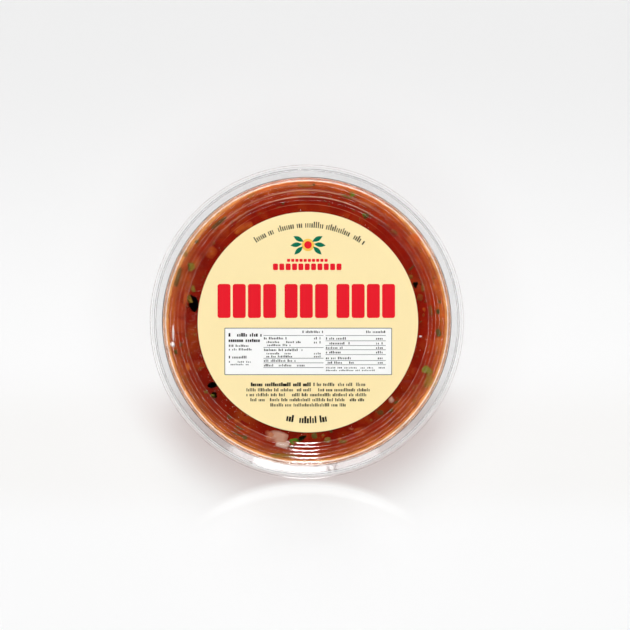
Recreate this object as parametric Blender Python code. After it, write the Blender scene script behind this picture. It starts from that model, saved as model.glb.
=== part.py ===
"""Pico de gallo in a clear round tub, closed by a stepped push-fit lid that carries a round paper label.

The tub stands on its foot ring at z = 0, with its axis on Z and the lid on top. Lengths are in metres.
"""

import math
import random

import bmesh
import bpy
from mathutils import Matrix, Vector

MM = 0.001

# Driving dimensions of the closed tub
TOTAL_HEIGHT = 46.0 * MM
LID_RADIUS = 59.0 * MM
FOOT_RADIUS = 44.6 * MM
LABEL_RADIUS = 41.4 * MM
LABEL_OFFSET = (0.4 * MM, -0.2 * MM, 0.0)
PLASTIC = 0.6 * MM
PAPER = 0.25 * MM
GAP = 0.3 * MM

# The lid's section: three terraces rise from the label's panel to the flange
RECESS_DEPTH = 6.0 * MM
PANEL_RADIUS = 45.4 * MM
TERRACES = 3
TERRACE_RISE = 1.0 * MM
RISER_RUN = 1.5 * MM
TREAD_RUN = 1.35 * MM
LAST_TREAD_RUN = 0.7 * MM
FLANGE_INNER_RADIUS = 54.1 * MM
FLANGE_OUTER_RADIUS = 57.3 * MM
FLANGE_ROUNDING = 0.7 * MM
SKIRT_DEPTH = 6.4 * MM
SKIRT_FOOT_RADIUS = 58.3 * MM
LIP_HEIGHT = 0.9 * MM

# The tub's section: a rolled rim, a stacking shoulder and a tapered wall
RIM_CURL_DEPTH = 2.8 * MM
RIM_CURL_FLARE = 0.5 * MM
SHOULDER_DROP = 8.4 * MM
SHOULDER_STEP = 0.8 * MM
SHOULDER_TOP_RADIUS = 53.5 * MM
WALL_FOOT_RADIUS = 47.6 * MM
WALL_FOOT_HEIGHT = 6.0 * MM
CORNER_RADIUS = 46.8 * MM
CORNER_HEIGHT = 3.2 * MM
FOOT_RING_WIDTH = 4.1 * MM
PUSH_UP = 1.0 * MM

# The salsa: a core, and the cut vegetables fused on it
HEADROOM = 3.4 * MM
WALL_ROOM = 3.2 * MM
MENISCUS_RADIUS = 50.4 * MM
FACET_ROOM = 0.12 * MM
SIDE_ROWS = 4
SIDE_PIECES_PER_ROW = 24
TOP_PIECES = 62
FOOT_PIECES = 38
LEAVES = 26
TOMATO_SIZE = (6.5 * MM, 9.5 * MM)
ONION_SIZE = (4.5 * MM, 7.5 * MM)
LEAF_SIZE = (6.0 * MM, 9.0 * MM)
DIE_FLATNESS = 0.7
DIE_UNEVENNESS = (0.82, 1.0)
LEAF_THICKNESS = 0.7 * MM
LEAF_POINTS = 12
LEAF_LOBES = 3
LEAF_LOBE_DEPTH = 0.28
LEAF_WAVES = (0.06, 0.1)
DIE_START = 1.2 * MM
LEAF_START = -0.3 * MM
DIE_LEANS = (-14, 14)
LEAF_LEANS = (22, 38)
STEP_INWARDS = 0.2 * MM
MOST_STEPS = 30
ROOTED_CORNERS = 3

SEGMENTS = 48
SEED = 11

COLOURS = {
    "clear_tub": (0.93, 0.95, 0.96),
    "clear_lid": (0.93, 0.95, 0.96),
    "label_paper": (0.86, 0.72, 0.39),
    "salsa_red": (0.36, 0.045, 0.012),
}


def clear_scene():
    for obj in list(bpy.data.objects):
        bpy.data.objects.remove(obj)


def make_material(name, roughness, transmission=0.0):
    material = bpy.data.materials.new(name)
    material.use_nodes = True
    shader = material.node_tree.nodes["Principled BSDF"]
    shader.inputs["Base Color"].default_value = (*COLOURS[name], 1.0)
    shader.inputs["Roughness"].default_value = roughness
    shader.inputs["Metallic"].default_value = 0.0
    shader.inputs["Transmission Weight"].default_value = transmission
    shader.inputs["IOR"].default_value = 1.57 if transmission else 1.45
    return material


def cut_corners(line):
    """(r, z) points of a line of (r, z, cut) corners. A cut takes its length off both sides of the corner."""
    points = []
    for i, (r, z, cut) in enumerate(line):
        corner = Vector((r, z))
        if cut == 0 or i in (0, len(line) - 1):
            points.append(corner)
            continue
        before, after = Vector(line[i - 1][:2]), Vector(line[i + 1][:2])
        points.append(corner + (before - corner).normalized() * cut)
        points.append(corner + (after - corner).normalized() * cut)
    return points


def offset_cut(cut, distance, steps):
    """The cut that keeps a cut corner's face parallel, once the line has moved to its right by distance."""
    if cut == 0 or len(steps) < 2:
        return 0
    half_turn = steps[0].angle_signed(steps[1]) / 2
    return max(0, cut - distance * (1 / math.cos(half_turn) - 1) / math.sin(half_turn))


def offset_line(line, distance):
    """The line of (r, z, cut) corners moved to its right by distance, with mitred corners."""
    moved = []
    for i, (r, z, cut) in enumerate(line):
        here = Vector((r, z))
        steps = []
        if i > 0:
            steps.append((here - Vector(line[i - 1][:2])).normalized())
        if i < len(line) - 1:
            steps.append((Vector(line[i + 1][:2]) - here).normalized())
        sides = [Vector((step.y, -step.x)) for step in steps]
        side = sum(sides, Vector((0, 0))).normalized()
        place = here + side * distance / side.dot(sides[0])
        moved.append((place.x, place.y, offset_cut(cut, distance, steps)))
    return moved


def sheet_section(line, thickness):
    """The (r, z) outline of a plastic sheet. Its visible face is the line, and its body lies to the right."""
    return cut_corners(line) + cut_corners(offset_line(line, thickness))[::-1]


def turned(name, section, material):
    """A body of revolution about Z. The section is an open outline whose ends both lie on the axis."""
    mesh = bpy.data.meshes.new(name)
    shape = bmesh.new()
    corners = [shape.verts.new((r, 0, z)) for r, z in section]
    edges = [shape.edges.new(pair) for pair in zip(corners, corners[1:])]
    bmesh.ops.spin(
        shape,
        geom=corners + edges,
        cent=(0, 0, 0),
        axis=(0, 0, 1),
        angle=math.tau,
        steps=SEGMENTS,
        use_merge=True,
    )
    bmesh.ops.remove_doubles(shape, verts=shape.verts, dist=1e-6)
    bmesh.ops.recalc_face_normals(shape, faces=shape.faces)
    shape.to_mesh(mesh)
    shape.free()
    mesh.materials.append(material)
    mesh.shade_smooth()
    mesh.set_sharp_from_angle(angle=math.radians(30))
    obj = bpy.data.objects.new(name, mesh)
    bpy.context.scene.collection.objects.link(obj)
    return obj


def lid_line():
    """The lid's upper face, from the axis out over the terraces and the flange and down the skirt."""
    panel_z = TOTAL_HEIGHT - RECESS_DEPTH
    line = [(0.0, panel_z, 0), (PANEL_RADIUS, panel_z, 0)]
    r, z = PANEL_RADIUS, panel_z
    for terrace in range(TERRACES):
        r, z = r + RISER_RUN, z + TERRACE_RISE
        line.append((r, z, 0))
        r += LAST_TREAD_RUN if terrace == TERRACES - 1 else TREAD_RUN
        line.append((r, z, 0))
    line.append((FLANGE_INNER_RADIUS, TOTAL_HEIGHT, FLANGE_ROUNDING))
    line.append((FLANGE_OUTER_RADIUS, TOTAL_HEIGHT, FLANGE_ROUNDING))
    lip_z = TOTAL_HEIGHT - SKIRT_DEPTH
    line.append((SKIRT_FOOT_RADIUS, lip_z + LIP_HEIGHT, 0))
    line.append((LID_RADIUS, lip_z, 0))
    return line


def tub_line():
    """The tub's food side, from the base's centre out and up the wall, over the rim and down its curl."""
    clear_of_lid = offset_line(lid_line(), PLASTIC + GAP)
    seat, rim_inner, rim_outer = clear_of_lid[-5:-2]
    rim_z = rim_inner[1]
    base_z = PLASTIC
    ring_inner_radius = FOOT_RADIUS - FOOT_RING_WIDTH
    shoulder_z = rim_z - SHOULDER_DROP
    return [
        (0.0, base_z + PUSH_UP, 0),
        (ring_inner_radius - PUSH_UP, base_z + PUSH_UP, 0),
        (ring_inner_radius, base_z, 0),
        (FOOT_RADIUS, base_z, 0),
        (CORNER_RADIUS, CORNER_HEIGHT, 0),
        (WALL_FOOT_RADIUS, WALL_FOOT_HEIGHT, 0),
        (SHOULDER_TOP_RADIUS - SHOULDER_STEP, shoulder_z - SHOULDER_STEP, 0),
        (SHOULDER_TOP_RADIUS, shoulder_z, 0),
        seat,
        rim_inner,
        rim_outer,
        (rim_outer[0] + RIM_CURL_FLARE, rim_z - RIM_CURL_DEPTH, 0),
    ]


def build_tub(plastic):
    turned("tub", sheet_section(tub_line(), PLASTIC), plastic)


def build_lid(plastic):
    turned("lid", sheet_section(lid_line(), PLASTIC), plastic)


def build_label(paper):
    bottom = TOTAL_HEIGHT - RECESS_DEPTH + GAP
    top = bottom + PAPER
    section = [(0.0, top), (LABEL_RADIUS, top), (LABEL_RADIUS, bottom), (0.0, bottom)]
    turned("label", section, paper).location = LABEL_OFFSET


def salsa_room():
    """The (r, z) outline that the salsa may fill, a gap inside the tub's wall and under the lid."""
    clearance = GAP + FACET_ROOM
    floor_and_wall = offset_line(tub_line(), -clearance)[:8]
    ceiling = offset_line(lid_line(), PLASTIC + clearance)[: 2 * TERRACES]
    level = ceiling[-1][1]
    brim = (floor_and_wall[-1][0], floor_and_wall[-1][1] + TERRACE_RISE, 0)
    meniscus = (MENISCUS_RADIUS, level, 0)
    return [Vector(p[:2]) for p in [*floor_and_wall, brim, meniscus, *ceiling[::-1]]]


def core_section():
    """The section of the salsa's core, which lies well inside the room on every side."""
    floor_and_wall = [Vector(p[:2]) for p in offset_line(tub_line(), -WALL_ROOM)[:7]]
    wall_foot, wall_top = floor_and_wall[-2:]
    top_z = TOTAL_HEIGHT - RECESS_DEPTH - PLASTIC - HEADROOM
    brim = wall_foot.lerp(wall_top, (top_z - wall_foot.y) / (wall_top.y - wall_foot.y))
    ridge = Vector((PANEL_RADIUS + RISER_RUN + TREAD_RUN, top_z + TERRACE_RISE))
    return [*floor_and_wall[:-1], brim, ridge, Vector((PANEL_RADIUS, top_z)), Vector((0.0, top_z))]


def is_inside(room, r, z):
    """True if the point (r, z) lies in the closed outline, by counting the edges that a ray crosses."""
    inside = False
    for a, b in zip(room, room[1:] + room[:1]):
        if (a.y > z) != (b.y > z) and r < a.x + (b.x - a.x) * (z - a.y) / (b.y - a.y):
            inside = not inside
    return inside


def fits(shape, room):
    """True if every corner of the shape, and points along its edges, lie in the room."""
    for edge in shape.edges:
        a, b = (vert.co for vert in edge.verts)
        for share in (0, 0.25, 0.5, 0.75, 1):
            point = a.lerp(b, share)
            if not is_inside(room, point.xy.length, point.z):
                return False
    return True


def is_rooted(shape, core):
    """True if enough corners of the shape lie in the core to hold it there."""
    inside = [vert for vert in shape.verts if is_inside(core, vert.co.xy.length + FACET_ROOM, vert.co.z)]
    return len(inside) >= ROOTED_CORNERS


def cut_die(rng, sizes):
    """A roughly cut die of vegetable: a block whose corners are all a little off square."""
    shape = bmesh.new()
    bmesh.ops.create_cube(shape, size=1.0)
    scale = [rng.uniform(*sizes) for _ in range(3)]
    scale[2] *= DIE_FLATNESS
    for vert in shape.verts:
        unevenness = [rng.uniform(*DIE_UNEVENNESS) for _ in range(3)]
        vert.co = Vector(c * s * u for c, s, u in zip(vert.co, scale, unevenness))
    return shape


def leaf(rng, sizes):
    """A coriander leaf: a thin wavy sheet with three lobes, both faces split into triangles alike."""
    shape = bmesh.new()
    length = rng.uniform(*sizes)
    wave = rng.uniform(*LEAF_WAVES) * length
    faces = []
    for side in (0.5, -0.5):
        hub = shape.verts.new((0, 0, side * LEAF_THICKNESS))
        rim = []
        for i in range(LEAF_POINTS):
            angle = math.tau * i / LEAF_POINTS
            reach = length / 2 * (1 - LEAF_LOBE_DEPTH * (1 - math.cos(LEAF_LOBES * angle)))
            lift = wave * math.sin(2 * angle) + side * LEAF_THICKNESS
            rim.append(shape.verts.new((reach * math.cos(angle), reach * math.sin(angle), lift)))
        faces.append((hub, rim))
    for hub, rim in faces:
        for a, b in zip(rim, rim[1:] + rim[:1]):
            shape.faces.new((hub, a, b))
    for i in range(LEAF_POINTS):
        j = (i + 1) % LEAF_POINTS
        upper, lower = faces[0][1], faces[1][1]
        shape.faces.new((upper[i], lower[i], lower[j]))
        shape.faces.new((upper[i], lower[j], upper[j]))
    bmesh.ops.recalc_face_normals(shape, faces=shape.faces)
    return shape


def disc_spots(count, radius, rng):
    """Spots spread evenly over a disc by the golden angle, from the edge inwards."""
    golden_angle = math.pi * (3 - math.sqrt(5))
    for i in range(count):
        r = radius * math.sqrt(1 - i / count)
        angle = i * golden_angle + rng.uniform(-0.1, 0.1)
        yield Vector((r * math.cos(angle), r * math.sin(angle)))


def salsa_spots(rng):
    """(place, outward direction) of each piece on the core, rows round the side first, then the two ends."""
    section = core_section()
    foot_r, foot_z = section[5]
    wall_r, wall_z = section[6]
    for row in range(SIDE_ROWS):
        share = (row + 0.5) / SIDE_ROWS
        r, z = foot_r + (wall_r - foot_r) * share, foot_z + (wall_z - foot_z) * share
        for i in range(SIDE_PIECES_PER_ROW):
            angle = math.tau * (i + 0.5 * (row % 2) + rng.uniform(-0.18, 0.18)) / SIDE_PIECES_PER_ROW
            outward = Vector((math.cos(angle), math.sin(angle), 0))
            yield outward * r + Vector((0, 0, z + rng.uniform(-1, 1) * MM)), outward
    top_z, foot_z = section[-1][1], section[0][1]
    for spot in disc_spots(TOP_PIECES, MENISCUS_RADIUS - 2 * MM, rng):
        yield spot.to_3d() + Vector((0, 0, top_z)), Vector((0, 0, 1))
    for spot in disc_spots(FOOT_PIECES, FOOT_RADIUS - 5 * MM, rng):
        yield spot.to_3d() + Vector((0, 0, foot_z)), Vector((0, 0, -1))


def settle(shape, place, outward, rng, leans, room, core):
    """Turns the shape to lie at the place, then moves it inwards until it fits. False if it never does."""
    turn = outward.to_track_quat("Z", "Y").to_matrix().to_4x4()
    spin = Matrix.Rotation(rng.uniform(0, math.tau), 4, "Z")
    tilt = Matrix.Rotation(math.radians(rng.uniform(*leans)), 4, "X")
    shape.transform(Matrix.Translation(place) @ turn @ spin @ tilt)
    for _ in range(MOST_STEPS):
        if fits(shape, room) and is_rooted(shape, core):
            return True
        bmesh.ops.translate(shape, verts=shape.verts, vec=-outward * STEP_INWARDS)
    return False


def add_piece(name, shape, collection):
    mesh = bpy.data.meshes.new(name)
    shape.to_mesh(mesh)
    collection.objects.link(bpy.data.objects.new(name, mesh))


def build_salsa(red):
    """The salsa as one heap: a core with diced tomato, diced onion and coriander leaves fused on."""
    rng = random.Random(SEED)
    room, core = salsa_room(), core_section()
    salsa = turned("salsa", core, red)
    pieces = bpy.data.collections.new("salsa_pieces")
    bpy.context.scene.collection.children.link(pieces)
    spots = list(salsa_spots(rng))
    leaf_spots = set(rng.sample(range(len(spots)), LEAVES))
    for i, (place, outward) in enumerate(spots):
        if i in leaf_spots:
            shape, start, leans = leaf(rng, LEAF_SIZE), LEAF_START, LEAF_LEANS
        else:
            sizes = ONION_SIZE if i % 4 == 0 else TOMATO_SIZE
            shape, start, leans = cut_die(rng, sizes), DIE_START, DIE_LEANS
        if settle(shape, place + outward * start, outward, rng, leans, room, core):
            add_piece(f"piece_{i:03d}", shape, pieces)
        shape.free()
    fuse(salsa, pieces)


def keep_largest_shell(mesh):
    """Fills any hollow that the fused pieces seal, and drops any scrap, by removing all the smaller shells."""
    shape = bmesh.new()
    shape.from_mesh(mesh)
    shells = []
    unseen = set(shape.faces)
    while unseen:
        shell = {unseen.pop()}
        front = set(shell)
        while front:
            edges = {edge for face in front for edge in face.edges}
            front = {face for edge in edges for face in edge.link_faces} - shell
            shell |= front
        unseen -= shell
        shells.append(shell)
    shells.sort(key=len)
    for shell in shells[:-1]:
        bmesh.ops.delete(shape, geom=list(shell), context="FACES")
    shape.to_mesh(mesh)
    shape.free()


def fuse(body, pieces):
    """Joins every object of the collection to the body with one Boolean union, then removes them."""
    union = body.modifiers.new("fuse", "BOOLEAN")
    union.operation = "UNION"
    union.operand_type = "COLLECTION"
    union.collection = pieces
    union.solver = "EXACT"
    graph = bpy.context.evaluated_depsgraph_get()
    fused = bpy.data.meshes.new_from_object(body.evaluated_get(graph), depsgraph=graph)
    body.modifiers.clear()
    body.data = fused
    keep_largest_shell(fused)
    fused.shade_flat()
    for obj in list(pieces.objects):
        bpy.data.objects.remove(obj)
    bpy.data.collections.remove(pieces)


def main():
    clear_scene()
    build_tub(make_material("clear_tub", roughness=0.05, transmission=1.0))
    build_lid(make_material("clear_lid", roughness=0.05, transmission=1.0))
    build_label(make_material("label_paper", roughness=0.6))
    build_salsa(make_material("salsa_red", roughness=0.25))


main()
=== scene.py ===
"""Looks of a clear tub of pico de gallo: the tub and lid, the printed label, and the salsa in its juice.

The file is laid out as a Blender add-on and is run as a script. Lengths are in metres, and the axis is Z.
"""

import math
import random

import bmesh
import bpy
import numpy as np
from bpy.props import FloatProperty, FloatVectorProperty, IntProperty, PointerProperty
from bpy.types import Operator, Panel, PropertyGroup
from mathutils import Euler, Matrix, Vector, noise


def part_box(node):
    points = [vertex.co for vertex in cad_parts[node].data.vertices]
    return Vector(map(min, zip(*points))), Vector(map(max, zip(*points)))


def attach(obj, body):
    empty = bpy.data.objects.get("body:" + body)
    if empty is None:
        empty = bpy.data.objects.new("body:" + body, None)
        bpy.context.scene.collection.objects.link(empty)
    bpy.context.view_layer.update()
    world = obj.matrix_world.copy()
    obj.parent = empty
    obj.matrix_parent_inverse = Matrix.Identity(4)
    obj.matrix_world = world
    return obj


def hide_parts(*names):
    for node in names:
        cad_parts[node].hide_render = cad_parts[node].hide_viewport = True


bl_info = {
    "name": "Tub of Pico de Gallo",
    "version": (1, 0, 0),
    "blender": (4, 5, 0),
    "location": "3D View > Sidebar > Pico de Gallo",
    "description": "Makes a clear lidded tub of pico de gallo with its label, salsa, herbs and studio",
    "category": "Add Mesh",
}

MM = 0.001

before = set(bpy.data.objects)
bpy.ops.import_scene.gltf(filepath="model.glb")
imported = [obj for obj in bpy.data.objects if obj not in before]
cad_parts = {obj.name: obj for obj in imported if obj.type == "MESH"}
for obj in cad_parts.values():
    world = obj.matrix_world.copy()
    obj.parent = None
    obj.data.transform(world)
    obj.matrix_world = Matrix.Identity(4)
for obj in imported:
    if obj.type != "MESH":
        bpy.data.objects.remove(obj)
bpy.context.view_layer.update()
LID_LOW, LID_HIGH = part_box("lid")
LABEL_LOW, LABEL_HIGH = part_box("label")
LABEL_CENTRE = (LABEL_LOW + LABEL_HIGH) / 2

# The photograph's frame: the lid's centre and the size of one of its pixels on the lid
IMAGE_SIDE = 630
LID_CENTRE_PX = (306.8, 321.6)
LID_RADIUS_PX = 157.0
PIXEL = LID_HIGH.x / LID_RADIUS_PX

RING_SIDES = 192
SWEEP_RADIUS = 1.0 * MM
MERGE_DISTANCE = 1e-6
SMALLEST_BEND = 0.05 * MM
INTO_WALL = 0.05 * MM
FLOW_WAVES = 0.02 * MM
PRINT_THICKNESS = 0.03 * MM
LABEL_THICKNESS = 0.15 * MM
LABEL_EDGE = 0.03 * MM
LABEL_LIFT = 0.03 * MM

# The juice's wet edge: the hollow beside it, its way down to the juice's level, and its waves
HOLLOW_RUN = 0.7 * MM
HOLLOW_RISE = 0.1 * MM
HOLLOW_FILLET = 0.4 * MM
EDGE_RUN = 1.5 * MM
WAVES_ABOVE = 40.0 * MM
WAVE_REACH = 0.9 * MM
WAVES_PER_METRE = 60

# How the pieces meet the plastic, and where the scattered ones lie
PRESSED_INTO_LID = 0.28 * MM
PRESSED_INTO_TUB = 0.14 * MM
PULL_DEPTH = 8 * MM
PULL_FADE = 4 * MM
WALL_PIECE_DEPTH = 4 * PRESSED_INTO_TUB
WALL_PIECE_TILT = math.radians(80)
WALL_PIECE_HEIGHTS = (5 * MM, 37 * MM)
BASE_PIECE_SPREAD = 46 * MM
BURIED_VEIL = (0.0, 0.6)


def length(name, description, default):
    return FloatProperty(name=name, description=description, default=default, unit="LENGTH", precision=5)


def colour(name, description, default):
    return FloatVectorProperty(
        name=name, description=description, default=default, subtype="COLOR", min=0.0, max=1.0
    )


def amount(name, description, default):
    return FloatProperty(name=name, description=description, default=default)


def count(name, description, default):
    return IntProperty(name=name, description=description, default=default, min=0)


# User-facing sizes and colours


class TubSizes(PropertyGroup):
    total_height: length("Total height", "Height of the tub with its lid on", LID_HIGH.z)
    lid_radius: length("Lid radius", "Radius of the lid's lip", LID_HIGH.x)
    plastic: length("Plastic", "Thickness of the lid's clear plastic", 0.4 * MM)
    tub_plastic: length("Tub plastic", "Thickness of the tub's clear plastic", 0.25 * MM)
    gap: length("Gap", "Gap between the lid and the tub", 0.3 * MM)
    recess_depth: length("Recess depth", "Depth of the lid's panel under its flange", 6.0 * MM)
    panel_radius: length("Panel radius", "Radius of the lid's flat panel", 45.6 * MM)
    terraces: count("Terraces", "Steps between the panel and the flange", 3)
    terrace_rise: length("Terrace rise", "Height of one step", 0.90 * MM)
    riser_run: length("Riser run", "Width of a step's slope", 1.5 * MM)
    tread_run: length("Tread run", "Width of a step's flat", 1.2 * MM)
    last_tread_run: length("Last tread run", "Width of the topmost step's flat", 0.35 * MM)
    flange_inner: length("Flange inner radius", "Radius where the flange begins", 53.2 * MM)
    flange_outer: length("Flange outer radius", "Radius where the skirt begins", 57.0 * MM)
    flange_fillet: length("Flange fillet", "Radius of the flange's two bends", 0.16 * MM)
    skirt_depth: length("Skirt depth", "Height of the lid's skirt", LID_HIGH.z - LID_LOW.z)
    skirt_foot: length("Skirt foot radius", "Radius of the skirt above its lip", 58.3 * MM)
    lip_height: length("Lip height", "Height of the flared lip", 0.9 * MM)
    foot_radius: length("Foot radius", "Outer radius of the tub's foot ring", 44.6 * MM)
    foot_ring: length("Foot ring", "Width of the foot ring", 4.1 * MM)
    push_up: length("Push-up", "Height of the base's middle above its foot ring", 1.0 * MM)
    corner_radius: length("Corner radius", "Radius at the top of the foot's corner", 46.8 * MM)
    corner_height: length("Corner height", "Height of the foot's corner", 3.2 * MM)
    wall_foot: length("Wall foot radius", "Radius of the wall at its foot", 47.6 * MM)
    wall_foot_height: length("Wall foot height", "Height of the wall's foot", 6.0 * MM)
    shoulder_radius: length("Shoulder radius", "Radius of the stacking shoulder's top", 53.5 * MM)
    shoulder_step: length("Shoulder step", "Width and height of the stacking shoulder", 0.8 * MM)
    shoulder_drop: length("Shoulder drop", "Depth of the shoulder under the rim", 8.4 * MM)
    curl_depth: length("Rim curl depth", "Height of the rim's curl", 2.8 * MM)
    curl_flare: length("Rim curl flare", "Flare of the rim's curl", 0.5 * MM)
    fillet: length("Fillet", "Radius of the plastic's small bends", 0.28 * MM)
    foot_fillet: length("Foot fillet", "Radius of the bends at the wall's foot", 0.8 * MM)
    rim_fillet: length("Rim fillet", "Radius of the rim's two bends", 0.14 * MM)
    step_fillet: length("Step fillet", "Radius of the soft bends of the lid's steps", 2.0 * MM)
    last_fillet: length("Last fillet", "Radius of the bend at the foot of the flange", 0.8 * MM)
    plastic_tint: colour("Plastic tint", "Colour of the clear plastic", (0.985, 0.988, 0.990))


class SalsaLook(PropertyGroup):
    # The juice's colours grow lighter outwards, partly as the juice thins and partly as painted light through
    # the wall
    juice_deep: colour("Deep juice", "Colour of the juice under the flat panel", (0.202, 0.0055, 0.0004))
    juice_ring: colour("Ring juice", "Colour of the juice under the lid's steps", (0.275, 0.017, 0.0013))
    juice_edge: colour("Edge juice", "Colour of the juice just inside its wet edge", (0.345, 0.062, 0.009))
    # Thin juice along the wall, brightened by painted light as if lit through it
    thin_juice_glow: colour("Juice band", "Colour of the thin juice along the wall", (0.500, 0.205, 0.055))
    # Painted highlights at the wall: a thin film of juice lightened as a highlight, and a pale line at the
    # juice's edge
    wall_film_highlight: colour("Juice film", "Colour of the film of juice on the wall", (0.710, 0.535, 0.445))
    wall_edge_highlight: colour("Juice line", "Colour of the pale line at the juice's edge", (0.690, 0.580, 0.540))
    # Colour of the painted highlights along the lid's steps
    step_highlight: colour("Ring line", "Colour of the pale lines along the lid's steps", (0.800, 0.490, 0.300))
    tomato: colour("Tomato", "Colour of the diced tomato", (0.370, 0.048, 0.006))
    tomato_pale: colour("Pale tomato", "Colour of the palest diced tomato", (0.480, 0.130, 0.018))
    onion: colour("Onion", "Colour of the diced onion", (0.540, 0.460, 0.390))
    onion_stained: colour("Stained onion", "Colour of onion that has taken up juice", (0.600, 0.250, 0.105))
    herb_bright: colour("Bright herb", "Colour of the freshest coriander", (0.085, 0.175, 0.012))
    herb_dark: colour("Dark herb", "Colour of the darkest herb flecks", (0.022, 0.030, 0.008))
    herb_olive: colour("Olive herb", "Colour of herb stained by the juice", (0.230, 0.130, 0.020))
    bubble: colour("Bubble", "Colour of the small air bubbles", (0.900, 0.820, 0.790))
    contact_radius: length("Contact radius", "Radius out to which the juice wets the lid", 51.5 * MM)
    juice_level: length("Juice level", "Height of the juice at the wall", 40.6 * MM)
    meniscus_wave: length("Meniscus wave", "Unevenness of the juice's wet edge", 0.55 * MM)
    dice_below: count("Dice below", "Dice scattered at the wall and the base", 240)
    dice_above: count("Dice above", "Dice scattered under the lid's steps", 22)
    flecks: count("Flecks", "Small herb flecks scattered all over", 420)
    leaves: count("Leaves", "Coriander leaves scattered all over", 70)
    bubbles: count("Bubbles", "Air bubbles under the lid", 230)
    seed: count("Seed", "Seed of every scatter", 7)


class LabelLook(PropertyGroup):
    radius: length("Label radius", "Radius of the round label", (LABEL_HIGH.x - LABEL_LOW.x) / 2)
    paper: colour("Paper", "Colour of the label's paper", (0.955, 0.790, 0.430))
    red: colour("Red print", "Colour of the title blocks", (0.780, 0.010, 0.022))
    green: colour("Green print", "Colour of the leaves in the motif", (0.002, 0.150, 0.075))
    yellow: colour("Yellow print", "Colour of the motif's middle", (0.930, 0.560, 0.090))
    ink: colour("Ink", "Colour of the small print", (0.010, 0.009, 0.008))
    panel: colour("Panel", "Colour of the white panel", (0.940, 0.940, 0.930))
    rule: colour("Rule", "Colour of the thin rules", (0.160, 0.170, 0.160))
    seed: count("Seed", "Seed of the small print", 3)


class StudioLook(PropertyGroup):
    floor: colour("Floor", "Colour of the pale floor", (0.280, 0.280, 0.280))
    floor_glow: amount("Floor glow", "Light that the pale light-table floor gives off", 0.68)
    sky: amount("Sky", "Brightness of the studio's diffuse ceiling", 0.90)
    walls: amount("Walls", "Brightness of the studio's walls, as a share of the ceiling's", 0.95)
    gap: amount("Gap", "Brightness between the walls and the ceiling, as a share of the ceiling's", 0.16)
    upper: amount("Upper ceiling", "Brightness beside the ring light, as a share of the ceiling's", 0.20)
    ring: amount("Ring light", "Brightness of the ring light, as a share of the ceiling's", 8.0)
    camera_hood: amount("Camera hood", "Brightness round the camera, as a share of the ceiling's", 0.03)
    key_power: amount("Key power", "Power of the softbox above the picture, in watts", 70.0)
    strip_power: amount("Strip power", "Power of the small strip that the flange mirrors, in watts", 0.007)
    lens: amount("Lens", "Focal length in millimetres", 150.0)


# Shader and geometry node helpers


class Wire:
    """An output socket. Arithmetic on it adds Math nodes to its tree."""

    def __init__(self, kit, socket):
        self.kit = kit
        self.socket = socket

    def math(self, operation, *others):
        return self.kit.math(operation, self, *others)

    def __add__(self, other):
        return self.math("ADD", other)

    def __sub__(self, other):
        return self.math("SUBTRACT", other)

    def __rsub__(self, other):
        return self.kit.math("SUBTRACT", other, self)

    def __mul__(self, other):
        return self.math("MULTIPLY", other)

    def __truediv__(self, other):
        return self.math("DIVIDE", other)

    def __pow__(self, other):
        return self.math("POWER", other)

    def __neg__(self):
        return self.math("MULTIPLY", -1.0)

    __radd__ = __add__
    __rmul__ = __mul__

    def clamped(self):
        return self.kit.math("ADD", self, 0.0, clamp=True)

    def step(self, low, high):
        """0 where the value is at low, 1 where it is at high, with a smooth change between."""
        settings = {"interpolation_type": "SMOOTHSTEP"}
        return self.kit.node("ShaderNodeMapRange", settings, {0: self, 1: low, 2: high, 3: 0.0, 4: 1.0})


class NodeKit:
    """Adds nodes to one tree."""

    def __init__(self, tree):
        self.tree = tree

    def node(self, kind, settings=None, inputs=None, output=0):
        """Adds a node: its settings first, a ramp's stops among them, then its inputs' values or links."""
        node = self.tree.nodes.new(kind)
        for name, value in (settings or {}).items():
            if name == "stops":
                self.set_stops(node.color_ramp, value)
            else:
                setattr(node, name, value)
        for key, value in (inputs or {}).items():
            self.feed(node.inputs[key], value)
        return Wire(self, node.outputs[output])

    def math(self, operation, *values, clamp=False):
        settings = {"operation": operation, "use_clamp": clamp}
        return self.node("ShaderNodeMath", settings, dict(enumerate(values)))

    def xyz(self, vector):
        """The three parts of a vector."""
        parts = self.tree.nodes.new("ShaderNodeSeparateXYZ")
        self.feed(parts.inputs[0], vector)
        return [Wire(self, part) for part in parts.outputs]

    def feed(self, socket, value):
        if isinstance(value, Wire):
            self.tree.links.new(value.socket, socket)
        elif socket.type == "RGBA" and len(value) == 3:
            socket.default_value = (*value, 1.0)
        else:
            socket.default_value = value

    @staticmethod
    def set_stops(ramp, stops):
        while len(ramp.elements) < len(stops):
            ramp.elements.new(1.0)
        for element, (place, value) in zip(ramp.elements, stops):
            element.position = place
            element.color = (*value, 1.0)


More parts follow.
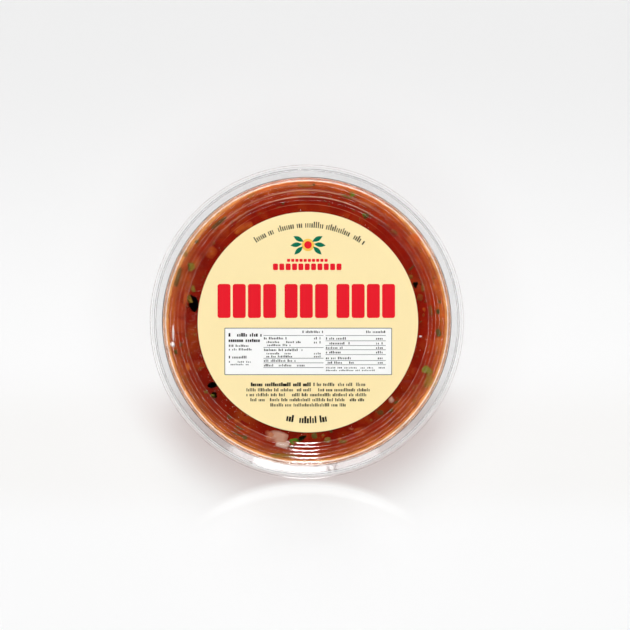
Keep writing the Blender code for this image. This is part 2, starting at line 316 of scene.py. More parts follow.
class Shader(NodeKit):
    """A material's node tree, with the few patterns that this object's finishes share."""

    def __init__(self, name):
        self.material = bpy.data.materials.new(name)
        self.material.use_nodes = True
        super().__init__(self.material.node_tree)
        self.tree.nodes.clear()
        self.place = self.node("ShaderNodeTexCoord", output="Object")

    def noise(self, per_mm, detail=2.0, distortion=0.0):
        values = {"Vector": self.place, "Scale": per_mm / MM, "Detail": detail, "Distortion": distortion}
        return self.node("ShaderNodeTexNoise", inputs=values)

    def cells(self, per_mm):
        """Distance from the middle of the nearest soft cell."""
        values = {"Vector": self.place, "Scale": per_mm / MM, "Smoothness": 0.6}
        return self.node("ShaderNodeTexVoronoi", {"feature": "SMOOTH_F1"}, values, "Distance")

    def attribute(self, name):
        return self.node("ShaderNodeAttribute", {"attribute_name": name}, output="Fac")

    def radius(self):
        """Distance from the tub's axis, in millimetres."""
        x, y, _ = self.xyz(self.place)
        return ((x * x + y * y) ** 0.5) / MM

    def streaks(self, radius, across, along):
        """Noise drawn out along the rings: across in streaks a millimetre, along in streaks a radian."""
        x, y, _ = self.xyz(self.place)
        angle = y.math("ARCTAN2", x).math("PINGPONG", math.pi)
        parts = {0: radius * across, 1: angle * along, 2: y.math("SIGN")}
        drawn = self.node("ShaderNodeCombineXYZ", inputs=parts)
        return self.node("ShaderNodeTexNoise", inputs={"Vector": drawn, "Scale": 1.0, "Detail": 2.0})

    def mix(self, factor, a, b):
        return self.node("ShaderNodeMix", {"data_type": "RGBA"}, {0: factor, 6: a, 7: b}, output=2)

    def bump(self, height, strength, distance):
        values = {"Height": height, "Strength": strength, "Distance": distance}
        return self.node("ShaderNodeBump", inputs=values)

    def finish(self, surface):
        output = self.tree.nodes.new("ShaderNodeOutputMaterial")
        self.feed(output.inputs["Surface"], surface)
        return self.material

    def principled(self, **values):
        """A Principled BSDF. An underscore in a keyword stands for the space in the socket's name."""
        inputs = {name.replace("_", " "): value for name, value in values.items()}
        return self.node("ShaderNodeBsdfPrincipled", inputs=inputs)


class Modifier(NodeKit):
    """A Geometry Nodes tree with named inputs. It takes a mesh and ends in Set Material."""

    SOCKETS = {
        float: "NodeSocketFloat",
        int: "NodeSocketInt",
        tuple: "NodeSocketVector",
        bpy.types.Material: "NodeSocketMaterial",
    }

    def __init__(self, name):
        super().__init__(bpy.data.node_groups.new(name, "GeometryNodeTree"))
        self.keys = {}
        self.values = {}
        self.new_socket("Geometry", "NodeSocketGeometry")
        self.tree.interface.new_socket("Geometry", in_out="OUTPUT", socket_type="NodeSocketGeometry")

    def new_socket(self, name, kind):
        self.keys[name] = self.tree.interface.new_socket(name, in_out="INPUT", socket_type=kind).identifier

    def inputs(self, **values):
        """Names the tree's inputs and their values, then gives their wires, the geometry first."""
        for name, value in values.items():
            self.new_socket(name, self.SOCKETS[type(value)])
            self.values[name] = value
        entry = self.tree.nodes.new("NodeGroupInput")
        return [Wire(self, socket) for socket in entry.outputs[: len(values) + 1]]

    def attribute(self, name, kind="FLOAT_VECTOR"):
        return self.node("GeometryNodeInputNamedAttribute", {"data_type": kind}, {"Name": name})

    def apply(self, obj, geometry, material):
        """Ends the tree, runs it on the object and leaves the result as the object's plain mesh."""
        realized = self.node("GeometryNodeRealizeInstances", inputs={0: geometry})
        dressed = self.node("GeometryNodeSetMaterial", inputs={0: realized, "Material": material})
        self.tree.links.new(dressed.socket, self.tree.nodes.new("NodeGroupOutput").inputs[0])
        modifier = obj.modifiers.new(self.tree.name, "NODES")
        modifier.node_group = self.tree
        for name, value in self.values.items():
            modifier[self.keys[name]] = value
        graph = bpy.context.evaluated_depsgraph_get()
        mesh = bpy.data.meshes.new_from_object(obj.evaluated_get(graph), depsgraph=graph)
        obj.modifiers.clear()
        obj.data = mesh
        mesh.name = obj.name
        return obj


# Mesh helpers


def new_object(name, points, edges=(), faces=()):
    mesh = bpy.data.meshes.new(name)
    mesh.from_pydata([tuple(p) for p in points], list(edges), list(faces))
    obj = bpy.data.objects.new(name, mesh)
    bpy.context.scene.collection.objects.link(obj)
    return obj


def coordinates(mesh):
    places = np.zeros(len(mesh.vertices) * 3, np.float32)
    mesh.vertices.foreach_get("co", places)
    return places.reshape(-1, 3).astype(float)


def set_coordinates(mesh, places):
    mesh.vertices.foreach_set("co", places.astype(np.float32).ravel())
    mesh.update()


def set_attribute(mesh, name, values):
    layer = mesh.attributes.get(name) or mesh.attributes.new(name, "FLOAT", "POINT")
    layer.data.foreach_set("value", np.asarray(values, np.float32))


def close_and_face_out(mesh):
    """Merges doubled points, so that seams and poles close, and turns every face outwards."""
    shape = bmesh.new()
    shape.from_mesh(mesh)
    bmesh.ops.remove_doubles(shape, verts=shape.verts, dist=MERGE_DISTANCE)
    bmesh.ops.recalc_face_normals(shape, faces=shape.faces)
    if shape.calc_volume(signed=True) < 0:
        bmesh.ops.reverse_faces(shape, faces=shape.faces)
    shape.to_mesh(mesh)
    shape.free()
    mesh.shade_smooth()


def weigh_normals(mesh):
    """Weighs vertex normals by face area, so that flats stay flat beside their narrow bends."""
    normals = np.zeros((len(mesh.vertices), 3))
    for face in mesh.polygons:
        normals[list(face.vertices)] += np.array(face.normal) * face.area
    normals /= np.maximum(np.linalg.norm(normals, axis=1), 1e-15)[:, None]
    mesh.normals_split_custom_set_from_vertices(normals.tolist())


def dress(obj, slot, *nodes):
    """Ties a finished piece to the tub's body and hides the nodes that it stands for. The slot is not used.
    """
    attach(obj, "root")
    for node in nodes:
        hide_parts(node)


def on_lid(x_px, y_px):
    """The place on the lid, seen from above, of a point of the photograph."""
    return Vector(((x_px - LID_CENTRE_PX[0]) * PIXEL, (LID_CENTRE_PX[1] - y_px) * PIXEL))


# Sections of the tub, the lid and the juice, as (r, z) lines


def offset_line(line, distance):
    """The line moved to its right, as it runs, by distance, with mitred corners."""
    moved = []
    for i, here in enumerate(line):
        near = line[max(i - 1, 0):i + 2]
        steps = [(b - a).normalized() for a, b in zip(near, near[1:])]
        sides = [Vector((step.y, -step.x)) for step in steps]
        side = sum(sides, Vector((0, 0))).normalized()
        moved.append(here + side * distance / side.dot(sides[0]))
    return moved


def moved_rounding(line, rounding, distance):
    """Fillet radii of the line moved to its right: smaller inside a bend and larger outside it."""
    bends = [(b - a).cross(c - b) for a, b, c in zip(line, line[1:], line[2:])]
    pairs = zip(rounding, bends)
    return [max(radius + math.copysign(distance, bend), SMALLEST_BEND) for radius, bend in pairs]


def lid_line(sizes):
    """The lid's upper face, from the axis out over the steps and the flange and down the skirt."""
    r, z = sizes.panel_radius, sizes.total_height - sizes.recess_depth
    line = [Vector((0.0, z)), Vector((r, z))]
    for terrace in range(sizes.terraces):
        r, z = r + sizes.riser_run, z + sizes.terrace_rise
        line.append(Vector((r, z)))
        r += sizes.last_tread_run if terrace == sizes.terraces - 1 else sizes.tread_run
        line.append(Vector((r, z)))
    lip_z = sizes.total_height - sizes.skirt_depth
    return line + [
        Vector((sizes.flange_inner, sizes.total_height)),
        Vector((sizes.flange_outer, sizes.total_height)),
        Vector((sizes.skirt_foot, lip_z + sizes.lip_height)),
        Vector((sizes.lid_radius, lip_z)),
    ]


def lid_rounding(sizes):
    """Fillet radii of the lid line's bends, from the panel's edge to the skirt's foot."""
    steps = [sizes.step_fillet] * (2 * sizes.terraces)
    return [*steps, sizes.last_fillet, sizes.flange_fillet, sizes.flange_fillet, sizes.fillet]


def tub_line(sizes):
    """The tub's food side, from the base's centre out and up the wall, over the rim and down its curl."""
    seat, rim_inner, rim_outer = offset_line(lid_line(sizes), sizes.plastic + sizes.gap)[-5:-2]
    ring_inner = sizes.foot_radius - sizes.foot_ring
    shoulder_z = rim_inner.y - sizes.shoulder_drop
    step, base = sizes.shoulder_step, sizes.tub_plastic
    places = [
        (0.0, base + sizes.push_up),
        (ring_inner - sizes.push_up, base + sizes.push_up),
        (ring_inner, base),
        (sizes.foot_radius, base),
        (sizes.corner_radius, sizes.corner_height),
        (sizes.wall_foot, sizes.wall_foot_height),
        (sizes.shoulder_radius - step, shoulder_z - step),
        (sizes.shoulder_radius, shoulder_z),
        seat,
        rim_inner,
        rim_outer,
        (rim_outer.x + sizes.curl_flare, rim_outer.y - sizes.curl_depth),
    ]
    return [Vector(place) for place in places]


def tub_rounding(sizes):
    """Fillet radii of the tub line's bends, from the base's push-up to the rim's curl."""
    return [sizes.fillet * 2] * 3 + [sizes.foot_fillet] * 2 + [sizes.fillet] * 3 + [sizes.rim_fillet] * 2


def sheet_section(line, rounding, thickness):
    """A sheet's outline and its fillet radii: its visible face is the line, and its back runs beside it."""
    back = offset_line(line, thickness)
    edge = thickness * 0.35
    face_radii = [0.0, *rounding, edge]
    back_radii = [0.0, *moved_rounding(line, rounding, thickness), edge]
    return line + back[::-1], face_radii + back_radii[::-1]


def wetted_ceiling(sizes, salsa, into_lid):
    """The lid's underside out to its last step's foot, and the point on that step where the juice ends."""
    line = offset_line(lid_line(sizes), into_lid)
    foot, top = line[5:7]
    return line[:6], foot.lerp(top, (salsa.contact_radius - foot.x) / (top.x - foot.x))


def juice_section(sizes, salsa):
    """The juice's outline and fillet radii. It reaches just into the wall and the lid, so no air shows."""
    into_lid = sizes.plastic - INTO_WALL
    wall = offset_line(tub_line(sizes), INTO_WALL)[:9]
    ceiling, contact = wetted_ceiling(sizes, salsa, into_lid)
    shoulder, seat = wall[-2:]
    share = (salsa.juice_level - shoulder.y) / (seat.y - shoulder.y)
    level = shoulder.lerp(seat, share)
    hollow = Vector((contact.x + HOLLOW_RUN, salsa.juice_level + HOLLOW_RISE))
    wall_radii = [0.0, *moved_rounding(tub_line(sizes), tub_rounding(sizes), INTO_WALL)[:7]]
    ceiling_radii = [0.0, *moved_rounding(lid_line(sizes), lid_rounding(sizes), into_lid)[:5]]
    edge = [sizes.fillet, HOLLOW_FILLET, sizes.fillet]
    return [*wall[:-1], level, hollow, contact, *ceiling[::-1]], wall_radii + edge + ceiling_radii[::-1]


def skin_height(sizes, salsa, radii):
    """Height of the juice's top skin at each radius. A mean over a bend's length rounds the bend."""
    ceiling, contact = wetted_ceiling(sizes, salsa, sizes.plastic - INTO_WALL)
    rs = [p.x for p in ceiling] + [contact.x, contact.x + EDGE_RUN]
    zs = [p.y for p in ceiling] + [contact.y, salsa.juice_level]
    reach = 0.3 * sizes.step_fillet
    return np.mean([np.interp(radii + shift, rs, zs) for shift in np.linspace(-reach, reach, 9)], axis=0)


def panel_skin(sizes):
    """Height of the juice's skin under the lid's flat panel."""
    return sizes.total_height - sizes.recess_depth - sizes.plastic + INTO_WALL


def wall_radius(sizes, heights):
    """Radius of the juice's skin at the tub's wall at each height."""
    wall = offset_line(tub_line(sizes), INTO_WALL)[3:9]
    return np.interp(heights, [p.y for p in wall], [p.x for p in wall])


def turn(name, section, fillets, material, fillet_steps=6):
    """A body of revolution by Geometry Nodes: the section's corners are filleted, then it is swept round."""
    places = [(r, 0.0, z) for r, z in section]
    obj = new_object(name, places, zip(range(len(places) - 1), range(1, len(places))))
    set_attribute(obj.data, "fillet", fillets)
    tree = Modifier(name + "_turning")
    geometry, steps, around = tree.inputs(Steps=fillet_steps, Sides=RING_SIDES)
    radius = tree.attribute("fillet", "FLOAT")
    r, _, z = tree.xyz(tree.node("GeometryNodeInputPosition"))
    laid = tree.node("ShaderNodeCombineXYZ", inputs={0: r - SWEEP_RADIUS, 1: -z})
    flat = tree.node("GeometryNodeSetPosition", inputs={0: geometry, "Position": laid})
    line = tree.node("GeometryNodeMeshToCurve", inputs={0: flat})
    values = {0: line, "Count": steps, "Radius": radius, "Limit Radius": True}
    rounded = tree.node("GeometryNodeFilletCurve", {"mode": "POLY"}, values)
    ring = {"Resolution": around, "Radius": SWEEP_RADIUS}
    circle = tree.node("GeometryNodeCurvePrimitiveCircle", inputs=ring)
    path = tree.node("GeometryNodeSetCurveNormal", {"mode": "Z_UP"}, {0: circle})
    swept = tree.node("GeometryNodeCurveToMesh", inputs={"Curve": path, "Profile Curve": rounded})
    tree.apply(obj, swept, material)
    close_and_face_out(obj.data)
    weigh_normals(obj.data)
    return obj


# Materials


def clear_plastic(name, tint):
    """Thin clear moulded plastic with faint flow waves. Lamps shine through it without caustics."""
    shader = Shader(name)
    waves = shader.noise(0.16) + shader.noise(1.3, detail=3.0) * 0.08
    normal = shader.bump(waves, 1.0, FLOW_WAVES)
    glass = shader.principled(
        Base_Color=tint, Roughness=0.012, IOR=1.45, Transmission_Weight=1.0, Normal=normal
    )
    clear = shader.node("ShaderNodeBsdfTransparent", inputs={"Color": (0.97, 0.97, 0.97)})
    shadow = shader.node("ShaderNodeLightPath", output="Is Shadow Ray")
    return shader.finish(shader.node("ShaderNodeMixShader", inputs={0: shadow, 1: glass, 2: clear}))


# Painted highlights along the lid's steps, drawn on the juice under them: radius and half width in
# millimetres, strength, strength at the back
STEP_HIGHLIGHTS = (
    (43.1, 0.15, 0.0, 0.30),
    (45.85, 0.24, 0.16, 0.95),
    (48.4, 0.17, 0.24, 0.25),
    (48.15, 0.22, 0.0, 0.90),
    (50.6, 0.15, 0.10, 0.20),
    (51.6, 0.12, 0.06, 0.20),
)


def juice_tone(shader, salsa):
    """The juice's colour without its pulp: deep under the panel, lighter outwards, orange at the wall. The
    lightening outwards is partly thinner juice and partly painted light, as if lit through the wall; the film
    and line at the wall and the lines along the steps are painted highlights, and the darkening at the front
    is painted shade.
    """
    radius = shader.radius()
    x, y, height = [part / MM for part in shader.xyz(shader.place)]
    wobble = (shader.noise(0.12) - 0.5) * 1.6
    bulge = y.step(18.0, 47.0)
    ringward = radius + wobble * 0.45 - bulge * 0.9
    # Partly painted light: the juice turns lighter outwards, where it is thinner and as if lit through the
    # wall
    middle = shader.mix(ringward.step(45.3, 46.9), salsa.juice_deep, salsa.juice_ring)
    outer = shader.mix(ringward.step(48.3, 50.6), middle, salsa.juice_edge)
    # Painted shade: the juice darkens towards the front and the left
    front = shader.mix(y.step(5.0, -35.0) * 0.26 + x.step(-22.0, -44.0) * 0.14, outer, (0.02, 0.002, 0.0))
    back_left = x.step(-12.0, -30.0) * y.step(14.0, 30.0)
    edge = radius + (shader.noise(0.25) - 0.5) * 0.4 - y.step(36.0, 48.0) * 0.6 + back_left * 0.5
    # Thin juice along the wall, brightened by painted light as if lit through it
    banded = shader.mix(edge.step(51.85, 52.05), front, salsa.thin_juice_glow)
    # Painted highlights at the wall: a pale film and a pale line at the juice's edge
    film_highlighted = shader.mix((radius + wobble * 0.1).step(52.75, 52.85), banded, salsa.wall_film_highlight)
    lined = shader.mix((radius + wobble * 0.1).step(52.95, 53.05), film_highlighted, salsa.wall_edge_highlight)
    # Painted highlights: pale lines along the lid's steps, broken up by noise
    painted_glints = shader.noise(0.045, detail=1.0).step(0.2, 0.6)
    for line, half_width, strength, back_strength in STEP_HIGHLIGHTS:
        middle = line + y * 0.006 + bulge * 0.8
        crest = radius.step(middle - half_width, middle) * radius.step(middle + half_width, middle)
        bright = strength + bulge * (back_strength - strength)
        lined = shader.mix(crest * bright * painted_glints, lined, salsa.step_highlight)
    return shader.mix(height.step(39.5, 37.5), lined, salsa.juice_ring)


def juice_material(salsa):
    """Red juice full of pulp, with soft pale flesh, clouds and streaks that run along the rings."""
    shader = Shader("juice")
    radius = shader.radius()
    streak = shader.streaks(radius, 1.1, 5.0)
    flesh = shader.cells(0.105).step(0.62, 0.25) * shader.noise(0.05, detail=1.0).step(0.42, 0.62)
    soft = shader.mix(flesh * 0.2, juice_tone(shader, salsa), salsa.tomato_pale)
    cloud = shader.noise(0.35, detail=3.0).step(0.35, 0.7)
    clouded = shader.mix(cloud * 0.3, soft, tuple(c * 0.4 for c in salsa.juice_deep))
    outer = radius.step(45.5, 48.0) * radius.step(51.8, 51.4) * 0.5
    dark_streaked = shader.mix(streak.step(0.42, 0.2) * outer, clouded, salsa.juice_deep)
    streaked = shader.mix(streak.step(0.58, 0.8) * outer, dark_streaked, salsa.tomato_pale)
    pulp = shader.noise(2.2).step(0.60, 0.78)
    speckled = shader.mix(pulp * 0.14, streaked, salsa.tomato_pale)
    normal = shader.bump(shader.noise(1.1), 0.25, 0.1 * MM)
    surface = shader.principled(
        Base_Color=speckled, Roughness=0.4, Specular_IOR_Level=0.03, IOR=1.35, Normal=normal
    )
    return shader.finish(surface)


def veiled_material(name, salsa, own, other, per_mm):
    """A vegetable under juice: its own colour where it touches the plastic, the juice's where it sinks."""
    shader = Shader(name)
    fibre = shader.noise(per_mm, detail=3.0, distortion=0.4).step(0.3, 0.7)
    tone = shader.mix(shader.attribute("shade"), own, other)
    flesh = shader.mix(fibre * 0.35, tone, tuple(c * 0.6 for c in own))
    patchy = (shader.attribute("clear") * (0.75 + shader.noise(0.6) * 0.5)).clamped()
    veil = shader.mix(patchy, juice_tone(shader, salsa), flesh)
    normal = shader.bump(fibre, 0.3, 0.08 * MM)
    surface = shader.principled(
        Base_Color=veil, Roughness=0.35, Specular_IOR_Level=0.03, IOR=1.38, Normal=normal
    )
    return shader.finish(surface)


def bubble_material(salsa):
    shader = Shader("air_bubbles")
    glint = shader.noise(2.0, detail=1.0).step(0.35, 0.65)
    tone = shader.mix(glint, tuple(c * 0.6 for c in salsa.bubble), salsa.bubble)
    return shader.finish(shader.principled(Base_Color=tone, Roughness=0.15))


def paper_material(name, tone):
    """Coated paper or ink on it, with a faint fibre and a soft sheen."""
    shader = Shader(name)
    fibre = shader.noise(2.4, detail=4.0)
    mottle = shader.noise(0.08)
    shade = (fibre * 0.5 + mottle * 0.5).step(0.3, 0.7)
    tinted = shader.mix(shade * 0.12, tone, tuple(c * 0.86 for c in tone))
    normal = shader.bump(fibre, 0.12, 0.02 * MM)
    gloss = {"Roughness": 0.6, "Specular_IOR_Level": 0.04, "Coat_Weight": 0.04, "Coat_Roughness": 0.35}
    return shader.finish(shader.principled(Base_Color=tinted, Normal=normal, **gloss))


def floor_material(tone, glow):
    """A pale light table: a matt sheet with an even glow. Painted on its glow are light and shade: darker
    towards the back, a pink painted shadow in front of the tub and a painted white glow arc beyond it.
    """
    shader = Shader("floor")
    x, y, _ = shader.xyz(shader.place)
    side, front, radius = x.math("ABSOLUTE") / MM, -y / MM, shader.radius()
    # Painted light: the floor's tone darkens towards the back
    level = 1.0 - (y.step(-0.02, 0.12) + shader.noise(0.01, detail=3.0) * 0.1) * 0.16
    dim = shader.mix(1.0 - level, (1.0, 1.0, 1.0), (0.0, 0.0, 0.0))
    # Painted shade: a faint warm dip in front of the tub
    painted_front_dip = shader.mix(front.step(14.0, 42.0) * front.step(84.0, 60.0), dim, (0.95, 0.94, 0.925))
    bowed = front - side * side * 0.007
    # Where the painted glow arc lies in front of the tub
    lit = side.step(46.0, 24.0) * bowed.step(60.8, 64.2)
    # Painted shadow in front of and beside the tub, tinted pink, left out where the glow arc lies
    shade = radius.step(82.0, 58.0) * front.step(20.0, 46.0) * (1.0 - lit)
    tinted = shader.mix(shade, painted_front_dip, (0.66, 0.56, 0.54))
    # Painted light: a white glow arc on the floor in front of the tub
    bright = lit * (bowed.step(62.8, 65.2) * bowed.step(68.0, 66.4) * 0.12 + bowed.step(88.0, 66.0) * 0.08)
    settings = {"data_type": "RGBA", "blend_type": "ADD"}
    glowing = shader.node("ShaderNodeMix", settings, {0: bright, 6: tinted, 7: (1.0, 1.0, 1.0)}, 2)
    light = {"Emission_Color": glowing, "Emission_Strength": glow}
    return shader.finish(shader.principled(Base_Color=tone, Roughness=0.7, Specular_IOR_Level=0.1, **light))


# Salsa pieces


def point_cloud(name, pieces):
    """A mesh of loose points, each with the size, turn and shade of the piece that stands there."""
    obj = new_object(name, [piece["place"] for piece in pieces])
    for key in ("size", "turn"):
        layer = obj.data.attributes.new(key, "FLOAT_VECTOR", "POINT")
        layer.data.foreach_set("vector", np.array([piece[key] for piece in pieces], np.float32).ravel())
    for key in ("shade", "veil"):
        set_attribute(obj.data, key, [piece.get(key, 0.0) for piece in pieces])
    return obj


def place_copies(tree, geometry, prototype, wobble, wobble_scale):
    """Puts the prototype on each point at its size and turn, then pushes each copy out of true."""
    turned = tree.node("FunctionNodeEulerToRotation", inputs={0: tree.attribute("turn")})
    values = {"Points": geometry, "Instance": prototype, "Rotation": turned}
    values["Scale"] = tree.attribute("size")
    copies = tree.node("GeometryNodeInstanceOnPoints", inputs=values)
    real = tree.node("GeometryNodeRealizeInstances", inputs={0: copies})
    grain = tree.node("ShaderNodeTexNoise", inputs={"Scale": wobble_scale, "Detail": 2.0}, output="Color")
    centred = tree.node("ShaderNodeVectorMath", {"operation": "SUBTRACT"}, {0: grain, 1: (0.5, 0.5, 0.5)})
    push = tree.node("ShaderNodeVectorMath", {"operation": "SCALE"}, {0: centred, "Scale": wobble})
    moved = tree.node("GeometryNodeSetPosition", inputs={0: real, "Offset": push})
    return tree.node("GeometryNodeSetShadeSmooth", inputs={0: moved})


def make_dice(name, pieces, material, wobble, grain=210.0, level=2):
    """Diced vegetables: soft-cornered blocks, no two alike."""
    obj = point_cloud(name, pieces)
    tree = Modifier(name + "_dicing")
    geometry, crease, uneven, scale = tree.inputs(Crease=0.32, Unevenness=float(wobble), Grain=float(grain))
    cube = tree.node("GeometryNodeMeshCube")
    values = {0: cube, "Level": level, "Edge Crease": crease}
    soft = tree.node("GeometryNodeSubdivisionSurface", inputs=values)
    return tree.apply(obj, place_copies(tree, geometry, soft, uneven, scale), material)


def make_leaves(name, pieces, material):
    """Coriander leaves: thin wavy lobed plates with both faces alike."""
    obj = point_cloud(name, pieces)
    tree = Modifier(name + "_growing")
    measures = {"Lobes": 3.0, "Depth": 0.1, "Waviness": 0.12, "Thickness": 0.06}
    geometry, lobes, depth, waviness, thickness = tree.inputs(**measures)
    settings, values = {"fill_type": "TRIANGLE_FAN"}, {"Vertices": 40, "Radius": 0.5}
    disc = tree.node("GeometryNodeMeshCircle", settings, values)
    x, y, _ = tree.xyz(tree.node("GeometryNodeInputPosition"))
    angle = y.math("ARCTAN2", x)
    reach = 1.0 - depth * (1.0 - (angle * lobes).math("COSINE"))
    lift = ((x * 9.0).math("SINE") + (y * 7.0).math("SINE")) * waviness
    shaped = tree.node("ShaderNodeCombineXYZ", inputs={0: x * reach, 1: y * reach, 2: lift})
    leaf = tree.node("GeometryNodeSetPosition", inputs={0: disc, "Position": shaped})
    upward = tree.node("ShaderNodeCombineXYZ", inputs={2: thickness})
    raised = tree.node("GeometryNodeExtrudeMesh", inputs={0: leaf, "Offset": upward, "Individual": False})
    under = tree.node("GeometryNodeFlipFaces", inputs={0: leaf})
    both = tree.tree.nodes.new("GeometryNodeJoinGeometry")
    tree.tree.links.new(raised.socket, both.inputs[0])
    tree.tree.links.new(under.socket, both.inputs[0])
    values = {0: Wire(tree, both.outputs[0]), "Distance": 1e-5}
    sewn = tree.node("GeometryNodeMergeByDistance", inputs=values)
    return tree.apply(obj, place_copies(tree, geometry, sewn, 0.0016, 420.0), material)


def make_bubbles(name, pieces, material):
    obj = point_cloud(name, pieces)
    tree = Modifier(name + "_blowing")
    geometry, fineness = tree.inputs(Fineness=1)
    ball = tree.node("GeometryNodeMeshIcoSphere", inputs={"Radius": 0.5, "Subdivisions": fineness})
    return tree.apply(obj, place_copies(tree, geometry, ball, 0.0, 1.0), material)


def settle(obj, sizes, salsa, clear_at):
    """Presses the pieces under the lid's steps, stores how far they show through the juice, dresses them."""
    mesh = obj.data
    places = coordinates(mesh)
    radii = np.hypot(places[:, 0], places[:, 1])
    panel = panel_skin(sizes)
    upper = np.clip((places[:, 2] - (panel - PULL_DEPTH)) / PULL_FADE, 0, 1)
    places[:, 2] += upper * (skin_height(sizes, salsa, radii) - panel)
    top_out = places[:, 2] - skin_height(sizes, salsa, radii)
    side_out = radii - wall_radius(sizes, places[:, 2])
    foot_out = sizes.tub_plastic + sizes.push_up - INTO_WALL - places[:, 2]
    shown = np.maximum(top_out, np.maximum(side_out, foot_out) * PRESSED_INTO_LID / PRESSED_INTO_TUB)
    lid_limit, tub_limit = sizes.plastic - 2 * INTO_WALL, sizes.tub_plastic - 1.5 * INTO_WALL
    places[:, 2] -= np.clip(top_out - lid_limit, 0, None)
    places[:, :2] *= (1 - np.clip(side_out - tub_limit, 0, None) / np.maximum(radii, MM))[:, None]
    places[:, 2] += np.clip(foot_out - tub_limit, 0, None)
    set_coordinates(mesh, places)
    veil = np.zeros(len(mesh.vertices), np.float32)
    mesh.attributes["veil"].data.foreach_get("value", veil)
    share = np.clip(shown / clear_at, 0, 1)
    set_attribute(mesh, "clear", share * share * (3 - 2 * share) * (1 - veil))
    dress(obj, "salsa")


def lid_piece(sizes, thickness, x_px, y_px, width_px, depth_px, turn_deg, shade=0.0, veil=0.0, sunk=0.5):
    """A piece seen under the lid, placed and sized by the photograph, its top pressed against the lid."""
    flat = on_lid(x_px, y_px)
    return {
        "place": (flat.x, flat.y, panel_skin(sizes) + PRESSED_INTO_LID - thickness * sunk),
        "size": (width_px * PIXEL, depth_px * PIXEL, thickness),
        "turn": (0.0, 0.0, math.radians(turn_deg)),
        "shade": shade,
        "veil": veil,
    }


def random_sides(rng, *limits):
    """Random lengths of sides, each between two limits in millimetres."""
    return [rng.uniform(*pair) * MM for pair in limits]


def scattered_piece(rng, r, angle, z, size, turn=None, veil=BURIED_VEIL):
    """A piece round the axis with a random shade and veil. It lies flat, unless its turn is given."""
    place = (r * math.cos(angle), r * math.sin(angle), z)
    turn = turn or (0.0, 0.0, rng.uniform(0, math.tau))
    return {"place": place, "size": size, "turn": turn, "shade": rng.random(), "veil": rng.uniform(*veil)}


def wall_piece(rng, sizes, size, lean):
    """A piece at a random place on the tub's wall, its outer face pressed flat against the plastic."""
    z = rng.uniform(*WALL_PIECE_HEIGHTS)
    angle = rng.uniform(0, math.tau)
    r = float(wall_radius(sizes, z)) + WALL_PIECE_DEPTH - size[2] / 2
    outward = Euler((0.0, WALL_PIECE_TILT, angle)).to_matrix()
    own = Euler((rng.uniform(-lean, lean), rng.uniform(-lean, lean), rng.uniform(0, math.tau))).to_matrix()
    return scattered_piece(rng, r, angle, z, size, tuple((outward @ own).to_euler()))


def base_piece(rng, sizes, size):
    """A piece at a random place on the tub's base."""
    r, angle = BASE_PIECE_SPREAD * math.sqrt(rng.random()), rng.uniform(0, math.tau)
    z = sizes.tub_plastic + sizes.push_up - PRESSED_INTO_TUB + size[2] / 2
    return scattered_piece(rng, r, angle, z, size)


def random_lid_piece(rng, sizes, size, ring, veil):
    """A piece at a random place of the ring between two radii under the lid."""
    inner, outer = ring
    r, angle = math.sqrt(rng.uniform(inner**2, outer**2)), rng.uniform(0, math.tau)
    z = panel_skin(sizes) + PRESSED_INTO_LID - size[2] / 2
    return scattered_piece(rng, r, angle, z, size, veil=veil)


# Operators, one for each piece or group of like pieces


class PICO_OT_tub(Operator):
    """Make the clear tub, a turned shell with a rolled rim and a foot ring."""

    bl_idname = "pico.tub"
    bl_label = "Make Tub"

    def execute(self, context):
        sizes = context.scene.pico_tub
        section = sheet_section(tub_line(sizes), tub_rounding(sizes), sizes.tub_plastic)
        plastic = clear_plastic("clear_tub", sizes.plastic_tint)
        dress(turn("tub_shell", *section, plastic), "clear_tub", "tub")
        return {"FINISHED"}


class PICO_OT_lid(Operator):
    """Make the clear lid, a turned shell with steps, a flange and a flared skirt."""

    bl_idname = "pico.lid"
    bl_label = "Make Lid"

    def execute(self, context):
        sizes = context.scene.pico_tub
        section = sheet_section(lid_line(sizes), lid_rounding(sizes), sizes.plastic)
        plastic = clear_plastic("clear_lid", sizes.plastic_tint)
        dress(turn("lid_shell", *section, plastic), "clear_lid", "lid")
        return {"FINISHED"}


class PICO_OT_juice(Operator):
    """Make the body of juice and pulp that fills the tub, with its uneven wet edge under the lid."""

    bl_idname = "pico.juice"
    bl_label = "Make Juice"

    def execute(self, context):
        sizes, salsa = context.scene.pico_tub, context.scene.pico_salsa
        obj = turn("salsa_juice", *juice_section(sizes, salsa), juice_material(salsa))
        places = coordinates(obj.data)
        radii = np.hypot(places[:, 0], places[:, 1])
        nearness = np.exp(-(((radii - salsa.contact_radius) / WAVE_REACH) ** 2))
        near = nearness * (places[:, 2] > WAVES_ABOVE)
        flat = [Vector((x, y, 0)) * WAVES_PER_METRE for x, y, _ in places]
        waves = [noise.fractal(place, 1.0, 2.0, 3) for place in flat]
        push = near * np.array(waves) * salsa.meniscus_wave * 2
        places[:, :2] *= (1 + push / np.maximum(radii, MM))[:, None]
        set_coordinates(obj.data, places)
        dress(obj, "salsa", "salsa")
        return {"FINISHED"}


